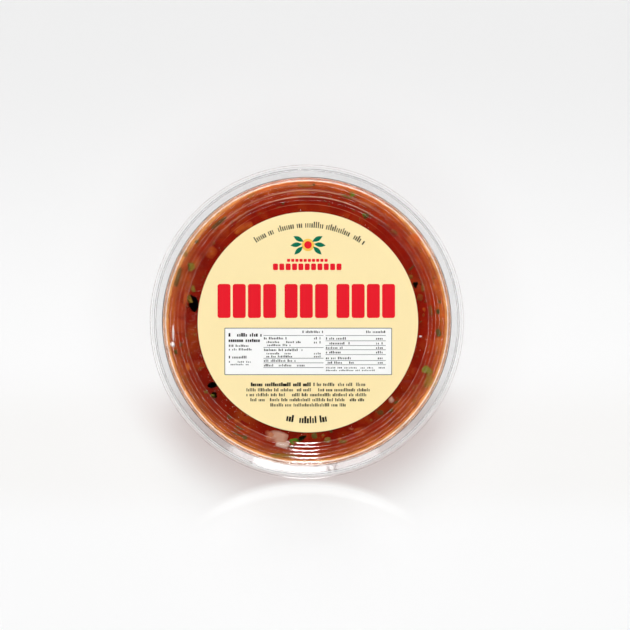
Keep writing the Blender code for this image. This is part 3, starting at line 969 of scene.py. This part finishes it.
class PICO_OT_dice(Operator):
    """Make the diced tomato and the diced onion, those that the lid shows first."""

    bl_idname = "pico.dice"
    bl_label = "Make Diced Vegetables"

    # Each piece that the lid shows: x, y, length and width in pixels, turn in degrees, shade, veil
    TOMATO = (
        (243, 228, 30, 13, 30, 1.0, 0.35), (212, 253, 15, 18, -30, 0.9, 0.5),
        (196, 262, 10, 20, -20, 0.8, 0.5), (402, 404, 30, 16, 42, 0.7, 0.5),
        (362, 431, 26, 13, 15, 0.6, 0.5), (243, 427, 24, 13, -25, 0.8, 0.6),
        (424.7, 309.7, 6.5, 6, -40, 1.0, 0.0), (188, 367, 8, 12, 12, 1.0, 0.1),
        (429, 250, 18, 12, -60, 0.6, 0.5), (300, 193, 30, 8, 2, 1.0, 0.55),
        (365, 203, 26, 9, -20, 0.9, 0.6), (438, 345, 9, 22, 5, 0.9, 0.5),
        (323, 437, 12, 5, 40, 1.0, 0.45), (339.5, 438.5, 5, 4, 0, 1.0, 0.1),
        (435, 288, 6, 8, 0, 1.0, 0.5), (234, 434, 10, 5, -28, 1.0, 0.3),
        (237.5, 422, 11, 6, -25, 1.0, 0.5), (186, 300, 8, 22, -8, 1.0, 0.5),
    )
    ONION = (
        (282.3, 443.4, 17, 9.2, -8, 0.15, 0.22), (278, 437.4, 24, 18, -12, 0.6, 0.32),
        (269, 437.0, 14, 17, -20, 1.0, 0.40), (391, 401, 10, 8, 40, 0.6, 0.25),
        (350.6, 428, 9, 5.5, -30, 0.9, 0.35), (196.5, 375, 4.2, 4, 0, 0.8, 0.0),
        (403, 396, 9, 7, 50, 0.4, 0.45), (257, 434.7, 8, 1.8, -25, 0.3, 0.0),
    )
    TOMATO_THICKNESS = 6 * MM
    ONION_THICKNESS = 4 * MM

    # Scattered dice: limits of their sides and thickness in millimetres, and how they lie
    TOMATO_SIDES = (6.0, 9.5)
    ONION_SIDES = (4.0, 7.0)
    THICKNESSES = (3.5, 6.0)
    LEAN = 0.07
    STEP_RING = (42 * MM, 49 * MM)
    STEP_VEIL = (0.72, 0.93)
    CLEAR_AT = 0.38 * MM

    def execute(self, context):
        sizes, salsa = context.scene.pico_tub, context.scene.pico_salsa
        rng = random.Random(salsa.seed)
        tomato = [lid_piece(sizes, self.TOMATO_THICKNESS, *row) for row in self.TOMATO]
        onion = [
            lid_piece(sizes, self.ONION_THICKNESS, *row, sunk=0.5 + 0.01 * i)
            for i, row in enumerate(self.ONION)
        ]
        for i in range(salsa.dice_below):
            kind, sides = (onion, self.ONION_SIDES) if i % 4 == 0 else (tomato, self.TOMATO_SIDES)
            size = random_sides(rng, sides, sides, self.THICKNESSES)
            if i % 3 == 0:
                kind.append(base_piece(rng, sizes, size))
            else:
                kind.append(wall_piece(rng, sizes, size, self.LEAN))
        for _ in range(salsa.dice_above):
            size = random_sides(rng, self.TOMATO_SIDES, self.TOMATO_SIDES, self.THICKNESSES)
            tomato.append(random_lid_piece(rng, sizes, size, self.STEP_RING, self.STEP_VEIL))
        red = veiled_material("tomato_flesh", salsa, salsa.tomato, salsa.tomato_pale, 0.5)
        white = veiled_material("onion_flesh", salsa, salsa.onion, salsa.onion_stained, 0.6)
        for name, pieces, material in (("tomato_dice", tomato, red), ("onion_dice", onion, white)):
            settle(make_dice(name, pieces, material, 0.0016), sizes, salsa, self.CLEAR_AT)
        return {"FINISHED"}


class PICO_OT_herbs(Operator):
    """Make the coriander leaves, the herb flecks and the stems."""

    bl_idname = "pico.herbs"
    bl_label = "Make Herbs"

    # Each herb that the lid shows: x, y, length and width in pixels, turn in degrees, shade, veil
    LEAVES = (
        (293.6, 441.2, 10.6, 7, 10, 0.0, 0.0), (302.4, 437.9, 9, 4.6, 32, 0.3, 0.0),
        (212, 385, 11, 6, 10, 0.45, 0.0), (214, 395, 6, 7, 60, 0.5, 0.1),
        (426.6, 370, 12, 8, -25, 0.6, 0.0), (428.4, 380, 9, 16, -18, 0.95, 0.35),
        (193, 303, 10, 20, 20, 0.9, 0.2), (415.3, 284.4, 6, 6.5, 30, 0.6, 0.0),
        (346, 196.6, 13, 2.6, -20, 0.9, 0.1), (352.3, 195.6, 4.6, 3, 15, 0.1, 0.0),
        (364, 215, 4, 3.2, 20, 0.3, 0.0), (305, 185.6, 17, 4, -3, 1.0, 0.5),
        (191.3, 267, 8, 10, 10, 0.7, 0.1), (283, 455.5, 30, 5, -5, 0.9, 0.4),
        (251, 196, 10, 3, 25, 1.0, 0.6),
    )
    FLECKS = (
        (314.3, 435.8, 6, 6.5, 10, 0.72, 0.0), (366, 216.2, 6.5, 4.6, 35, 0.9, 0.0),
        (291, 446.5, 7, 2.4, -12, 0.95, 0.0), (302, 439.4, 6, 2.2, 32, 0.9, 0.0),
        (193.5, 289, 4, 7, 15, 0.3, 0.0), (199, 367.5, 8, 3.4, 3, 0.65, 0.0),
        (206, 392, 3.4, 3, 0, 0.3, 0.1), (219, 223, 20, 4, 38, 0.9, 0.2),
        (178.3, 277, 4.5, 22, -15, 0.9, 0.2), (439.4, 302, 3.4, 4, 0, 0.8, 0.1),
        (437.8, 311.5, 4, 5.4, 10, 0.9, 0.0), (438.2, 332.8, 5, 8, 15, 0.85, 0.0),
        (396, 403, 5.5, 4, 40, 0.8, 0.0), (391, 411, 5.5, 3.4, 30, 0.9, 0.1),
        (380, 412.5, 6, 5, 0, 0.8, 0.3), (327.5, 440, 6.5, 6, 0, 0.35, 0.1),
        (352, 194, 5, 4.6, 20, 0.4, 0.1), (343.5, 441.5, 9, 4, 5, 0.5, 0.1),
        (313.6, 185, 3.4, 2.8, 0, 0.95, 0.0), (283, 203.6, 2.8, 2.4, 0, 0.95, 0.0),
        (395, 232, 6, 3.2, -45, 0.7, 0.3), (186, 254, 4.5, 6, 10, 0.7, 0.3),
        (331, 431.5, 3, 2.4, 0, 0.95, 0.1), (229, 417, 5.5, 3.4, -35, 0.8, 0.3),
        (411.5, 267.8, 8, 1.6, 45, 0.9, 0.0), (181, 345, 3.4, 4.2, 0, 0.8, 0.3),
        (176, 352, 3, 5, 20, 0.95, 0.0), (408, 388, 5, 3.4, 50, 0.85, 0.2),
        (410.6, 277, 4.4, 4.4, 0, 0.2, 0.4), (422.8, 288, 3.6, 8, 5, 0.4, 0.4),
        (430.6, 310.6, 3.6, 11, 8, 0.6, 0.4), (420, 297.5, 6, 7, -20, 0.5, 0.6),
        (196.7, 241.7, 4, 4, 0, 0.9, 0.1),
    )
    STEMS = (
        (240, 428, 11, 2.2, -25, 0.85, 0.0), (239, 435, 15, 1.7, -18, 0.85, 0.0),
        (245, 437.6, 4, 4.2, -60, 0.85, 0.0),
    )
    SHOWN_LEAF_THICKNESS = 0.8 * MM

    # Scattered herbs: limits of their length and width in millimetres, and how they lie
    LEAF_SIDES = ((4, 8), (3, 6))
    LEAF_THICKNESS = 1.0 * MM
    FLECK_SIDES = ((0.5, 1.8), (0.4, 1.0))
    FLECK_THICKNESS = 0.5 * MM
    LEAN = 0.1
    STEP_RING = (38 * MM, 51 * MM)
    STEP_VEIL = (0.3, 0.95)
    CLEAR_AT = 0.10 * MM

    def execute(self, context):
        sizes, salsa = context.scene.pico_tub, context.scene.pico_salsa
        rng = random.Random(salsa.seed + 1)
        leaves = [lid_piece(sizes, self.SHOWN_LEAF_THICKNESS, *row, sunk=-0.5) for row in self.LEAVES]
        specks = [lid_piece(sizes, self.FLECK_THICKNESS, *row) for row in (*self.FLECKS, *self.STEMS)]
        for i in range(salsa.leaves):
            size = (*random_sides(rng, *self.LEAF_SIDES), self.LEAF_THICKNESS)
            if i % 3 == 0:
                leaves.append(base_piece(rng, sizes, size))
            else:
                leaves.append(wall_piece(rng, sizes, size, self.LEAN))
        for i in range(salsa.flecks):
            size = (*random_sides(rng, *self.FLECK_SIDES), self.FLECK_THICKNESS)
            if i % 3 == 0:
                specks.append(random_lid_piece(rng, sizes, size, self.STEP_RING, self.STEP_VEIL))
            elif i % 3 == 1:
                specks.append(wall_piece(rng, sizes, size, self.LEAN))
            else:
                specks.append(base_piece(rng, sizes, size))
        green = veiled_material("coriander", salsa, salsa.herb_bright, salsa.herb_olive, 1.2)
        dried = veiled_material("dried_herb", salsa, salsa.herb_olive, salsa.herb_dark, 1.5)
        settle(make_leaves("coriander_leaves", leaves, green), sizes, salsa, self.CLEAR_AT)
        flecks = make_dice("herb_flecks", specks, dried, 0.0009, 1100.0, 1)
        settle(flecks, sizes, salsa, self.CLEAR_AT)
        return {"FINISHED"}


class PICO_OT_bubbles(Operator):
    """Make the tiny air bubbles caught under the lid, most of them along the label's left edge, and a pale
    streak at the left that is a painted highlight.
    """

    bl_idname = "pico.bubbles"
    bl_label = "Make Air Bubbles"

    # Drawn-out pale streaks and specks under the lid; the two at the left stand in for a white glint on the
    # lid's step, a painted highlight made as pieces: x, y, width and height in pixels, turn in degrees
    GLINT_AND_AIR_STREAKS = (
        (173.6, 333, 2.4, 20, 2), (172.8, 344.5, 5.5, 7, 25), (362.8, 432.8, 2.6, 2.4, 0),
        (420.4, 336.4, 3.2, 2, 0), (328, 441.8, 3, 2, 0), (345.5, 440.8, 2.6, 1.8, 0),
    )
    STREAK_THICKNESS = 0.5 * MM

    # Scattered bubbles: two in three gather on one side by the label. Lengths are in millimetres.
    GATHERED_SIDE = math.radians(192)
    GATHERED_SPREAD = math.radians(26)
    GATHERED_FROM = 41.6
    GATHERED_DEPTH = 2.0
    LOOSE_RING = (41.5, 51.0)
    NARROWEST = 0.09
    WIDEST = 0.30
    WIDTH_RATE = 18.0
    CLEAR_AT = 0.1 * MM

    def execute(self, context):
        sizes, salsa = context.scene.pico_tub, context.scene.pico_salsa
        rng = random.Random(salsa.seed + 2)
        pieces = [lid_piece(sizes, self.STREAK_THICKNESS, *row) for row in self.GLINT_AND_AIR_STREAKS]
        top = panel_skin(sizes) + PRESSED_INTO_LID
        for i in range(salsa.bubbles):
            if i % 3:
                side = rng.gauss(self.GATHERED_SIDE, self.GATHERED_SPREAD)
                r = (self.GATHERED_FROM + abs(rng.gauss(0, self.GATHERED_DEPTH))) * MM
            else:
                side = rng.uniform(0, math.tau)
                r = rng.uniform(*self.LOOSE_RING) * MM
            width = min(self.WIDEST, self.NARROWEST + rng.expovariate(self.WIDTH_RATE)) * MM
            pieces.append({
                "place": (r * math.cos(side), r * math.sin(side), top - 0.3 * width),
                "size": (width, width, width),
                "turn": (0.0, 0.0, 0.0),
            })
        bubbles = make_bubbles("air_bubbles", pieces, bubble_material(salsa))
        settle(bubbles, sizes, salsa, self.CLEAR_AT)
        return {"FINISHED"}


def label_faces(sizes):
    """Heights of the label's lower and upper face."""
    bottom = sizes.total_height - sizes.recess_depth + LABEL_LIFT
    return bottom, bottom + LABEL_THICKNESS


class PICO_OT_label(Operator):
    """Make the round paper label on the lid's panel."""

    bl_idname = "pico.label"
    bl_label = "Make Label"

    def execute(self, context):
        sizes, look = context.scene.pico_tub, context.scene.pico_label
        bottom, top = label_faces(sizes)
        section = [(0.0, top), (look.radius, top), (look.radius, bottom), (0.0, bottom)]
        obj = turn("label_disc", section, [LABEL_EDGE] * 4, paper_material("label_paper", look.paper), 2)
        places = coordinates(obj.data)
        places[:, :2] += LABEL_CENTRE.xy
        set_coordinates(obj.data, places)
        dress(obj, "label_paper", "label")
        return {"FINISHED"}


def add_patch(shape, outline, low, high):
    """Adds a thin closed plate with the outline, a list of (x, y)."""
    rings = [[shape.verts.new((x, y, z)) for x, y in outline] for z in (low, high)]
    shape.faces.new(rings[0][::-1])
    shape.faces.new(rings[1])
    for i in range(len(outline)):
        j = (i + 1) % len(outline)
        shape.faces.new((rings[0][i], rings[0][j], rings[1][j], rings[1][i]))


def rounded_block(x0, y0, x1, y1, corner_px, steps=5):
    """A block of the photograph's pixels as an outline with round corners, anticlockwise on the lid."""
    low, high = on_lid(x0, y1), on_lid(x1, y0)
    corner = corner_px * PIXEL
    middles = ((high.x - corner, high.y - corner), (low.x + corner, high.y - corner),
               (low.x + corner, low.y + corner), (high.x - corner, low.y + corner))
    outline = []
    for quarter, (x, y) in enumerate(middles):
        for i in range(steps + 1):
            angle = math.pi / 2 * (quarter + i / steps)
            outline.append((x + corner * math.cos(angle), y + corner * math.sin(angle)))
    return outline


def oval(x_px, y_px, width_px, depth_px, turn_deg, point=0.0, steps=24):
    """An oval outline in the photograph's pixels, drawn out to a point at both ends if point is above 0."""
    centre, turned = on_lid(x_px, y_px), math.radians(turn_deg)
    outline = []
    for i in range(steps):
        angle = math.tau * i / steps
        along = width_px / 2 * PIXEL * math.cos(angle)
        across = depth_px / 2 * PIXEL * math.sin(angle) * (1 - point * math.cos(angle) ** 2)
        x = along * math.cos(turned) - across * math.sin(turned)
        y = along * math.sin(turned) + across * math.cos(turned)
        outline.append((centre.x + x, centre.y + y))
    return outline


def make_print(name, outlines, face, material, thickness=PRINT_THICKNESS):
    """One mesh of thin printed patches, all in one ink."""
    shape = bmesh.new()
    for outline in outlines:
        add_patch(shape, outline, face - PRINT_THICKNESS / 3, face + thickness)
    obj = new_object(name, [])
    shape.to_mesh(obj.data)
    shape.free()
    obj.data.materials.append(material)
    dress(obj, "label_paper")


class PICO_OT_print(Operator):
    """Make the label's generic print: plain title blocks, a leaf motif, a white panel with rules."""

    bl_idname = "pico.print"
    bl_label = "Make Label Print"

    # Places and sizes in the photograph's pixels. A dash is its pitch, width and corner.
    TITLE_ROWS = (284.0, 318.0)
    TITLE_GROUPS = ((217.6, 4), (284.6, 3), (336.4, 4))
    TITLE_PITCH = 15.2
    TITLE_BLOCK = 13.0
    TITLE_CORNER = 2.4
    SUBTITLE = (273.0, 263.6, 342.8, 270.2)
    SUBTITLE_DASH = (6.4, 5.0, 1.2)
    OVERLINE = (287.0, 258.9, 328.6, 261.9)
    OVERLINE_DASH = (4.2, 3.2, 0.8)
    PANEL = (224.5, 327.8, 392.0, 375.0)
    BORDER = 0.8
    RULE_HALF_WIDTH = 0.28
    MOTIF = (308.0, 245.0)
    MOTIF_DOT = 7.6
    MOTIF_RING = 12.6
    LEAF_TURNS = (28, -8, -44)
    LEAF_SIZE = (11.5, 4.6)
    LEAF_REACH = 9.4
    LEAF_BOW = 2.4
    LEAF_TOP = 239.0
    LEAF_PITCH = 5.8
    LEAF_POINT = 0.75

    def execute(self, context):
        sizes, look = context.scene.pico_tub, context.scene.pico_label
        face = label_faces(sizes)[1]
        red = [*self.title_blocks(), *self.dashes(self.SUBTITLE, *self.SUBTITLE_DASH)]
        red += self.dashes(self.OVERLINE, *self.OVERLINE_DASH)
        red.append(oval(*self.MOTIF, self.MOTIF_DOT, self.MOTIF_DOT, 0))
        make_print("print_red", red, face, paper_material("red_ink", look.red))
        make_print("print_green", list(self.leaves()), face, paper_material("green_ink", look.green))
        ring = [oval(*self.MOTIF, self.MOTIF_RING, self.MOTIF_RING, 0)]
        make_print("print_yellow", ring, face, paper_material("yellow_ink", look.yellow), PRINT_THICKNESS / 2)
        x0, y0, x1, y1 = self.PANEL
        border = [rounded_block(x0, y0, x1, y1, 1.0)]
        make_print("print_border", border, face, paper_material("rule_ink", look.rule), PRINT_THICKNESS / 2)
        edge = self.BORDER
        white = [rounded_block(x0 + edge, y0 + edge, x1 - edge, y1 - edge, 0.6)]
        make_print("print_panel", white, face, paper_material("panel_white", look.panel))
        half = self.RULE_HALF_WIDTH
        rules = [rounded_block(x, y - half, x + w, y + half, 0.1, 1) for x, y, w in self.rules()]
        rule_ink = paper_material("thin_rule_ink", look.rule)
        make_print("print_rules", rules, face, rule_ink, PRINT_THICKNESS * 2)
        return {"FINISHED"}

    def title_blocks(self):
        """Plain red blocks in three groups, where the pack has its title."""
        top, bottom = self.TITLE_ROWS
        for start, blocks in self.TITLE_GROUPS:
            for i in range(blocks):
                x = start + i * self.TITLE_PITCH
                yield rounded_block(x, top, x + self.TITLE_BLOCK, bottom, self.TITLE_CORNER)

    def leaves(self):
        """Three pointed leaves on each side of the motif's middle."""
        for side in (-1, 1):
            for i, lean in enumerate(self.LEAF_TURNS):
                x = self.MOTIF[0] + side * (self.LEAF_REACH + self.LEAF_BOW * (1 - abs(i - 1)))
                y = self.LEAF_TOP + self.LEAF_PITCH * i
                yield oval(x, y, *self.LEAF_SIZE, side * lean, self.LEAF_POINT)

    @staticmethod
    def dashes(box, pitch, width, corner):
        """A row of short blocks that fills a box."""
        x0, y0, x1, y1 = box
        blocks = round((x1 - x0) / pitch)
        step = (x1 - x0) / blocks
        starts = [x0 + i * step for i in range(blocks)]
        return [rounded_block(x, y0, x + width, y1, corner, 3) for x in starts]

    @staticmethod
    def rules():
        """(x, y, width) of the white panel's rules, in pixels."""
        middle = [(263.5, y, 60.0) for y in (335.5, 347.5, 358.2, 362.8, 367.5)]
        right = [(325.5, y, 60.2) for y in (335.5, 340.8, 345.5, 349.7, 354.6, 360.5, 364.7)]
        return middle + right


class PICO_OT_small_print(Operator):
    """Make the label's small print as rows of plain strokes, which follow straight lines and arcs."""

    bl_idname = "pico.small_print"
    bl_label = "Make Small Print"

    # Rows of strokes in pixels: left end, right end, baseline, height
    ROWS = (
        (229.5, 248, 346.8, 2.2), (229.5, 251, 350.4, 2.2), (229.5, 246, 358.4, 2.6),
        (229.5, 252, 362.6, 1.6), (229.5, 248, 365.2, 1.6), (303.0, 322.5, 333.0, 2.4),
        (264.5, 286, 339.4, 2.4), (267.0, 300, 343.0, 2.0), (264.5, 290, 346.0, 2.0),
        (264.5, 302, 351.0, 2.4), (267.0, 290, 354.4, 2.0), (267.0, 293, 357.4, 2.0),
        (264.5, 295, 361.8, 2.4), (264.5, 304, 366.4, 2.4), (314.5, 320, 339.4, 2.4),
        (314.5, 320, 343.4, 2.4), (314.5, 320, 354.4, 2.0), (314.5, 320, 357.4, 2.0),
        (365.0, 384.5, 333.0, 2.4), (326.5, 347, 339.6, 2.4), (326.5, 349, 344.4, 2.4),
        (326.5, 342, 348.8, 2.2), (326.5, 340, 353.4, 2.4), (326.5, 352, 359.2, 2.4),
        (326.5, 353, 363.6, 2.2), (376.5, 382, 339.6, 2.4), (376.5, 382, 344.4, 2.4),
        (376.5, 382, 348.8, 2.2), (376.5, 382, 353.4, 2.4), (376.5, 382, 359.2, 2.4),
        (376.5, 382, 363.6, 2.2), (326.5, 384, 368.4, 1.4), (326.5, 374, 371.0, 1.4),
        (314.0, 364.6, 386.0, 3.4), (247.0, 369.0, 391.3, 3.2), (247.0, 369.0, 396.2, 3.2),
        (251.0, 365.0, 401.2, 3.2), (271.0, 345.0, 406.4, 3.2),
    )
    ROW_STROKES = (1.62, 0.60)
    HEADING_STROKES = (2.0, 0.85)
    HEADINGS = ((229.5, 261, 336.6, 3.6), (229.5, 259, 342.0, 3.6), (251.7, 312, 386.2, 3.8))
    # Arcs about the label's centre: baseline radius, first and last angle, height, pitch and weight
    ARCS = ((94.5, 125.0, 55.0, 6.0, 2.05, 0.55), (101.0, 258.0, 282.0, 7.0, 2.6, 0.72))

    def execute(self, context):
        sizes, look = context.scene.pico_tub, context.scene.pico_label
        face = label_faces(sizes)[1] + PRINT_THICKNESS
        lines = [self.row(*row, *self.ROW_STROKES) for row in self.ROWS]
        lines += [self.row(*row, *self.HEADING_STROKES) for row in self.HEADINGS]
        lines += [self.arc(*arc) for arc in self.ARCS]
        points, edges = [], []
        values = {"tall": [], "pitch": [], "weight": []}
        for line, *measures in lines:
            start = len(points)
            points.extend((x, y, face) for x, y in line)
            edges.extend((i, i + 1) for i in range(start, len(points) - 1))
            for key, value in zip(values, measures):
                values[key].extend([value] * len(line))
        obj = new_object("print_strokes", points, edges)
        for key, value in values.items():
            set_attribute(obj.data, key, value)
        self.write(obj, look, paper_material("small_ink", look.ink))
        dress(obj, "label_paper")
        return {"FINISHED"}

    @staticmethod
    def row(x0, x1, y, tall, pitch, weight):
        """A straight baseline with the height, pitch and weight of its strokes."""
        return [on_lid(x0, y), on_lid(x1, y)], tall * PIXEL, pitch * PIXEL, weight

    @staticmethod
    def arc(radius, start, end, tall, pitch, weight, steps=40):
        """A baseline that is an arc about the label's centre."""
        angles = [math.radians(start + (end - start) * i / steps) for i in range(steps + 1)]
        line = [LABEL_CENTRE.xy + Vector((math.cos(a), math.sin(a))) * radius * PIXEL for a in angles]
        return line, tall * PIXEL, pitch * PIXEL, weight

    @staticmethod
    def write(obj, look, ink):
        """Strokes of uneven height and width along each baseline, with gaps as between words."""
        tree = Modifier("small_print_writing")
        geometry, seed, word = tree.inputs(Seed=look.seed, WordRhythm=0.93)
        line = tree.node("GeometryNodeMeshToCurve", inputs={0: geometry})
        pitch = tree.attribute("pitch", "FLOAT")
        dotted = tree.node("GeometryNodeResampleCurve", {"mode": "LENGTH"}, {0: line, "Length": pitch})
        tangent = {"Vector": tree.node("GeometryNodeInputTangent")}
        turned = tree.node("FunctionNodeAlignRotationToVector", {"axis": "X"}, tangent)
        chance = {"data_type": "FLOAT"}
        height = tree.node("FunctionNodeRandomValue", chance, {2: 0.0, 3: 1.0, "Seed": seed}, 1)
        width = tree.node("FunctionNodeRandomValue", chance, {2: 0.75, 3: 1.25, "Seed": seed + 1}, 1)
        tall = tree.attribute("tall", "FLOAT") * (0.7 + 0.3 * height.step(0.6, 0.7))
        wide = pitch * tree.attribute("weight", "FLOAT") * width
        shape = tree.node("ShaderNodeCombineXYZ", inputs={0: wide, 1: tall, 2: PRINT_THICKNESS})
        index = tree.node("GeometryNodeInputIndex")
        swing = (index * 0.41).math("SINE")
        beat = index * word + swing * 1.7
        inked = beat.math("SINE").math("GREATER_THAN", -0.84)
        block = tree.node("GeometryNodeMeshCube")
        upright = tree.node("GeometryNodeTransform", inputs={0: block, "Translation": (0.0, 0.5, 0.0)})
        values = {"Points": dotted, "Selection": inked, "Instance": upright}
        values |= {"Rotation": turned, "Scale": shape}
        tree.apply(obj, tree.node("GeometryNodeInstanceOnPoints", inputs=values), ink)


class PICO_OT_studio(Operator):
    """Make the pale floor, the soft lights and the camera over the lid."""

    bl_idname = "pico.studio"
    bl_label = "Make Studio"

    FLOOR_HALF = 2.5
    KEY_PLACE = Vector((0.03, 2.52, 3.18))
    KEY_SIZE = (0.80, 2.70)
    GLINT_SIZE = (0.50, 2.00)
    GLINT_SHARE = 0.46
    GLINT_REACHES = (1.0, 1.01, 1.02, 1.03, 1.04)
    # Small strips that the flange mirrors: place, size, turn in degrees and share of the power
    STRIPS = (
        (Vector((-0.010, -0.0845, 0.546)), (0.044, 0.012), -4.0, 1.2),
        (Vector((-0.033, -0.0782, 0.548)), (0.026, 0.012), -22.0, 0.35),
        (Vector((0.028, -0.0800, 0.548)), (0.026, 0.012), 20.0, 0.40),
        (Vector((0.050, -0.0680, 0.548)), (0.022, 0.010), 34.0, 0.10),
    )

    def execute(self, context):
        look = context.scene.pico_studio
        self.make_floor(look)
        self.make_world(look)
        lid = Vector((0, 0, LID_HIGH.z))
        key = self.make_lamp("key_softbox", self.KEY_PLACE, self.KEY_SIZE, look.key_power, lid)
        key.visible_glossy = False
        for reach in self.GLINT_REACHES:
            place, power = self.KEY_PLACE * reach, look.key_power * self.GLINT_SHARE
            glint = self.make_lamp("key_glint", place, self.GLINT_SIZE, power, lid)
            glint.visible_diffuse = glint.visible_transmission = False
        for place, size, turn_deg, share in self.STRIPS:
            power, below = look.strip_power * share, place * Vector((1, 1, 0))
            strip = self.make_lamp("flange_strip", place, size, power, below)
            strip.rotation_euler.z += math.radians(turn_deg)
        self.make_camera(look)
        context.scene.view_settings.view_transform = "Standard"
        return {"FINISHED"}

    def make_floor(self, look):
        half = self.FLOOR_HALF
        corners = [(-half, -half, 0), (half, -half, 0), (half, half, 0), (-half, half, 0)]
        floor = new_object("floor", corners, faces=[(0, 1, 2, 3)])
        floor.data.materials.append(floor_material(look.floor, look.floor_glow))

    @staticmethod
    def make_world(look):
        """Pale walls, a bright diffuse ceiling, and a dark hood round the camera for the panel to mirror."""
        world = bpy.data.worlds.new("studio")
        bpy.context.scene.world = world
        world.use_nodes = True
        world.node_tree.nodes.clear()
        kit = NodeKit(world.node_tree)
        direction = kit.node("ShaderNodeTexCoord", output="Generated")
        up = kit.xyz(direction)[2]
        # How far up a direction points, from 0 at the horizon to 1 overhead, and the brightness there
        stops = (
            (0.20, look.walls), (0.27, look.gap), (0.50, look.gap), (0.58, look.upper),
            (0.975, look.upper), (0.993, look.camera_hood),
        )
        settings = {"stops": [(place, (share,) * 3) for place, share in stops]}
        ring = up.step(0.800, 0.807) * up.step(0.850, 0.843) * look.ring
        brightness = (kit.node("ShaderNodeValToRGB", settings, {"Fac": up}) + ring) * look.sky
        values = {"Color": (1.0, 1.0, 1.0), "Strength": brightness}
        background = kit.node("ShaderNodeBackground", inputs=values)
        output = world.node_tree.nodes.new("ShaderNodeOutputWorld")
        kit.feed(output.inputs["Surface"], background)

    @staticmethod
    def make_lamp(name, place, size, power, target):
        lamp = bpy.data.lights.new(name, "AREA")
        lamp.shape = "RECTANGLE"
        lamp.size, lamp.size_y = size
        lamp.energy = power
        obj = bpy.data.objects.new(name, lamp)
        obj.location = place
        obj.rotation_euler = (target - place).to_track_quat("-Z", "Y").to_euler()
        bpy.context.scene.collection.objects.link(obj)
        return obj

    @staticmethod
    def make_camera(look):
        """A camera straight above the lid, so that the lid's lip has the photograph's size and place."""
        data = bpy.data.cameras.new("camera")
        data.lens = look.lens
        camera = bpy.data.objects.new("camera", data)
        frame_width = IMAGE_SIDE * PIXEL
        x = (IMAGE_SIDE / 2 - LID_CENTRE_PX[0]) * PIXEL
        y = (LID_CENTRE_PX[1] - IMAGE_SIDE / 2) * PIXEL
        camera.location = (x, y, LID_LOW.z + frame_width * look.lens / data.sensor_width)
        bpy.context.scene.collection.objects.link(camera)
        bpy.context.scene.camera = camera


OPERATORS = (
    PICO_OT_tub,
    PICO_OT_lid,
    PICO_OT_juice,
    PICO_OT_dice,
    PICO_OT_herbs,
    PICO_OT_bubbles,
    PICO_OT_label,
    PICO_OT_print,
    PICO_OT_small_print,
    PICO_OT_studio,
)


class PICO_PT_sidebar(Panel):
    """Lists the pieces of the tub of pico de gallo."""

    bl_label = "Pico de Gallo"
    bl_idname = "PICO_PT_sidebar"
    bl_space_type = "VIEW_3D"
    bl_region_type = "UI"
    bl_category = "Pico de Gallo"

    def draw(self, context):
        for name in GROUPS:
            group = getattr(context.scene, name)
            box = self.layout.box()
            for prop in group.bl_rna.properties:
                if prop.identifier not in ("rna_type", "name"):
                    box.prop(group, prop.identifier)
        for operator in OPERATORS:
            self.layout.operator(operator.bl_idname)


GROUPS = {
    "pico_tub": TubSizes,
    "pico_salsa": SalsaLook,
    "pico_label": LabelLook,
    "pico_studio": StudioLook,
}


def register():
    for cls in (*GROUPS.values(), *OPERATORS, PICO_PT_sidebar):
        bpy.utils.register_class(cls)
    for name, group in GROUPS.items():
        setattr(bpy.types.Scene, name, PointerProperty(type=group))


def unregister():
    for name in GROUPS:
        delattr(bpy.types.Scene, name)
    for cls in (PICO_PT_sidebar, *reversed(OPERATORS), *reversed(GROUPS.values())):
        bpy.utils.unregister_class(cls)


def main():
    register()
    for operator in OPERATORS:
        group, name = operator.bl_idname.split(".")
        getattr(getattr(bpy.ops, group), name)()


if __name__ == "__main__":
    main()
